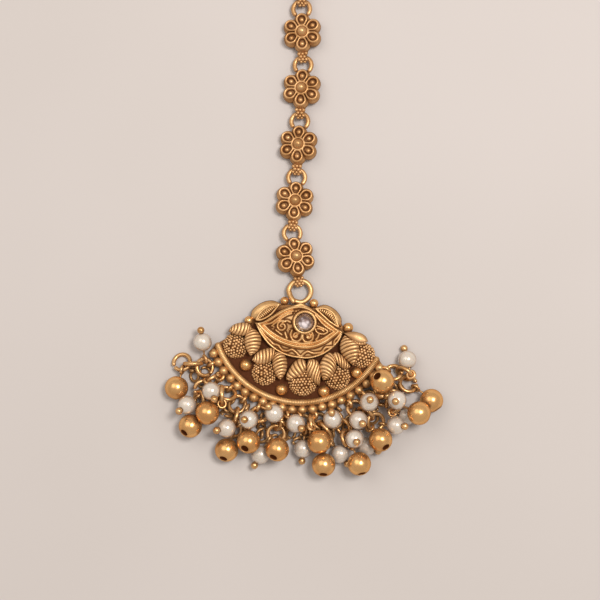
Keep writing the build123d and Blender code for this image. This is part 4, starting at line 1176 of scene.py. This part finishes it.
def make_pearls(pins):
    """Pearls drilled through along their pins, brown round the holes."""
    start, bore, bore_end, stain = math.asin(PEARL_HOLE / PEARL_R), PEARL_HOLE * 0.55, PEARL_R - 0.35, 0.14
    rows = [(bore, bore_end, 1.0)]
    for a in np.linspace(start, math.pi - start, 36):
        near = min(a - start, math.pi - start - a)
        rows.append((PEARL_R * math.sin(a), PEARL_R * math.cos(a), max(0.0, 0.8 - near / stain)))
    rows += [(bore, -bore_end, 1.0), rows[0]]
    for name, centre in pearl_centres.items():
        way = unit(centre - pins[name]) if name in pins else UP
        pearl = Form()
        pearl.add_rows(rows, centre, axes_about(way), 52)
        # painted shade: the nacre turns browner where it faces down
        pearl.make(f"bead_{name}", pearl_nacre, "pearl", f"pearl_{name}", underside_shade=(1.4, 0.45, 0.8))


def make_wires():
    """Jump rings and headed pins of each strand. Returns the eye of every pin by the bead it holds."""
    head_sizes, ring_spread = {"ball": BALL_HEAD, "pearl": PEARL_HEAD}, 0.3
    eyes = {"ball": {}, "pearl": {}}
    for node in wire_names:
        wires = Form()
        for points in loose_parts(node):
            middle = points.mean(axis=0)
            away = np.linalg.norm(points - middle, axis=1)
            if abs(away - RING_R).max() < ring_spread:
                wires.add_ring(middle, main_axes(points)[:, 0], RING_R, WIRE, 64, 12,
                               cut=chance.uniform(0, 2 * math.pi), hollow=0.05)
                continue
            kind, name, eye, facing, head = read_pin(points)
            eyes[kind][name] = eye
            along, reach = unit(head - eye), np.linalg.norm(head - eye)
            wires.add_ring(eye, facing, EYE_R, EYE_WIRE, 36, 10, hollow=0.15)
            shank = eye + along * np.linspace(EYE_R, reach, 10)[:, None]
            wires.add_tube(shank, SHANK, 10, facing=facing, hollow=0.4)
            # painted shade on each head's lower half
            wires.add_ball(head, head_sizes[kind], axes_about(along), 28, low_shade=0.45)
        wires.make(f"loops_{node[6:]}", wire_gold, "wire_gold", node)
    return eyes


make_back_plate()
make_rim()
make_border()
make_buds()
make_studs()
make_side_leaves()
make_plaque()
make_bezel()
make_stone()
make_top_loop()
make_eyelets()
links, hook_at = lay_links()
for index, (link_middle, link_axes, link_tab_z) in enumerate(links, 1):
    make_flower(index, link_middle, link_axes, link_tab_z)
make_hook(hook_at)
pin_eyes = make_wires()
make_gold_balls(pin_eyes["ball"])
make_pearls(pin_eyes["pearl"])


# ------------------------------------------------------------------ floor, light and camera

def make_floor():
    """Plain pale floor with the faintest unevenness."""
    half_m, drop_m = 0.9, 0.00002
    material, tree, shader = new_material("pale_floor")
    clouds = ramped(tree, mottle(tree, 9.0), 0.3, 0.7)
    greys = blended(tree, clouds, tint(208, 200, 196), tint(203, 195, 190))
    tree.links.new(greys, shader.inputs["Base Color"])
    shader.inputs["Roughness"].default_value = 0.7
    mesh = bpy.data.meshes.new("floor")
    corners = [(-half_m, -half_m, 0), (half_m, -half_m, 0), (half_m, half_m, 0), (-half_m, half_m, 0)]
    mesh.from_pydata(corners, [], [(0, 1, 2, 3)])
    mesh.materials.append(material)
    floor = bpy.data.objects.new("floor", mesh)
    floor.location.z = -drop_m
    bpy.context.scene.collection.objects.link(floor)


def add_light(name, place, size, power, colour):
    """A round lamp in metres and watts, aimed at the ornament."""
    light = bpy.data.lights.new(name, "AREA")
    light.shape, light.size, light.energy, light.color = "DISK", size, power, colour
    holder = bpy.data.objects.new(name, light)
    holder.location = place
    holder.rotation_euler = (-Vector(place)).to_track_quat("-Z", "Y").to_euler()
    bpy.context.scene.collection.objects.link(holder)


def fill_room(colour, strength):
    """Even light from all round."""
    world = bpy.data.worlds.new("studio")
    world.use_nodes = True
    background = world.node_tree.nodes["Background"]
    background.inputs["Color"].default_value = colour
    background.inputs["Strength"].default_value = strength
    bpy.context.scene.world = world


def place_camera():
    """Camera straight above, a little turned, so that the top of the chain runs out of view."""
    lens, sensor, view_width, turn = 100.0, 36.0, 100.0, 5.07
    aim = (np.array([-0.31, 2.42, 2.0]) + ORIGIN) * MM
    data = bpy.data.cameras.new("camera")
    data.lens, data.sensor_width = lens, sensor
    camera = bpy.data.objects.new("camera", data)
    camera.location = (aim[0], aim[1], aim[2] + view_width * lens / sensor * MM)
    camera.rotation_euler = (0.0, 0.0, math.radians(turn))
    bpy.context.scene.collection.objects.link(camera)
    bpy.context.scene.camera = camera


make_floor()
add_light("key", (0.14, 0.10, 0.5), 0.16, 1.7, (1.0, 0.98, 0.96))
add_light("fill", (-0.25, 0.15, 0.45), 0.4, 0.6, (1.0, 0.97, 0.94))
fill_room(tint(236, 228, 220), 0.55)
place_camera()
bpy.context.scene.view_settings.view_transform = "Standard"
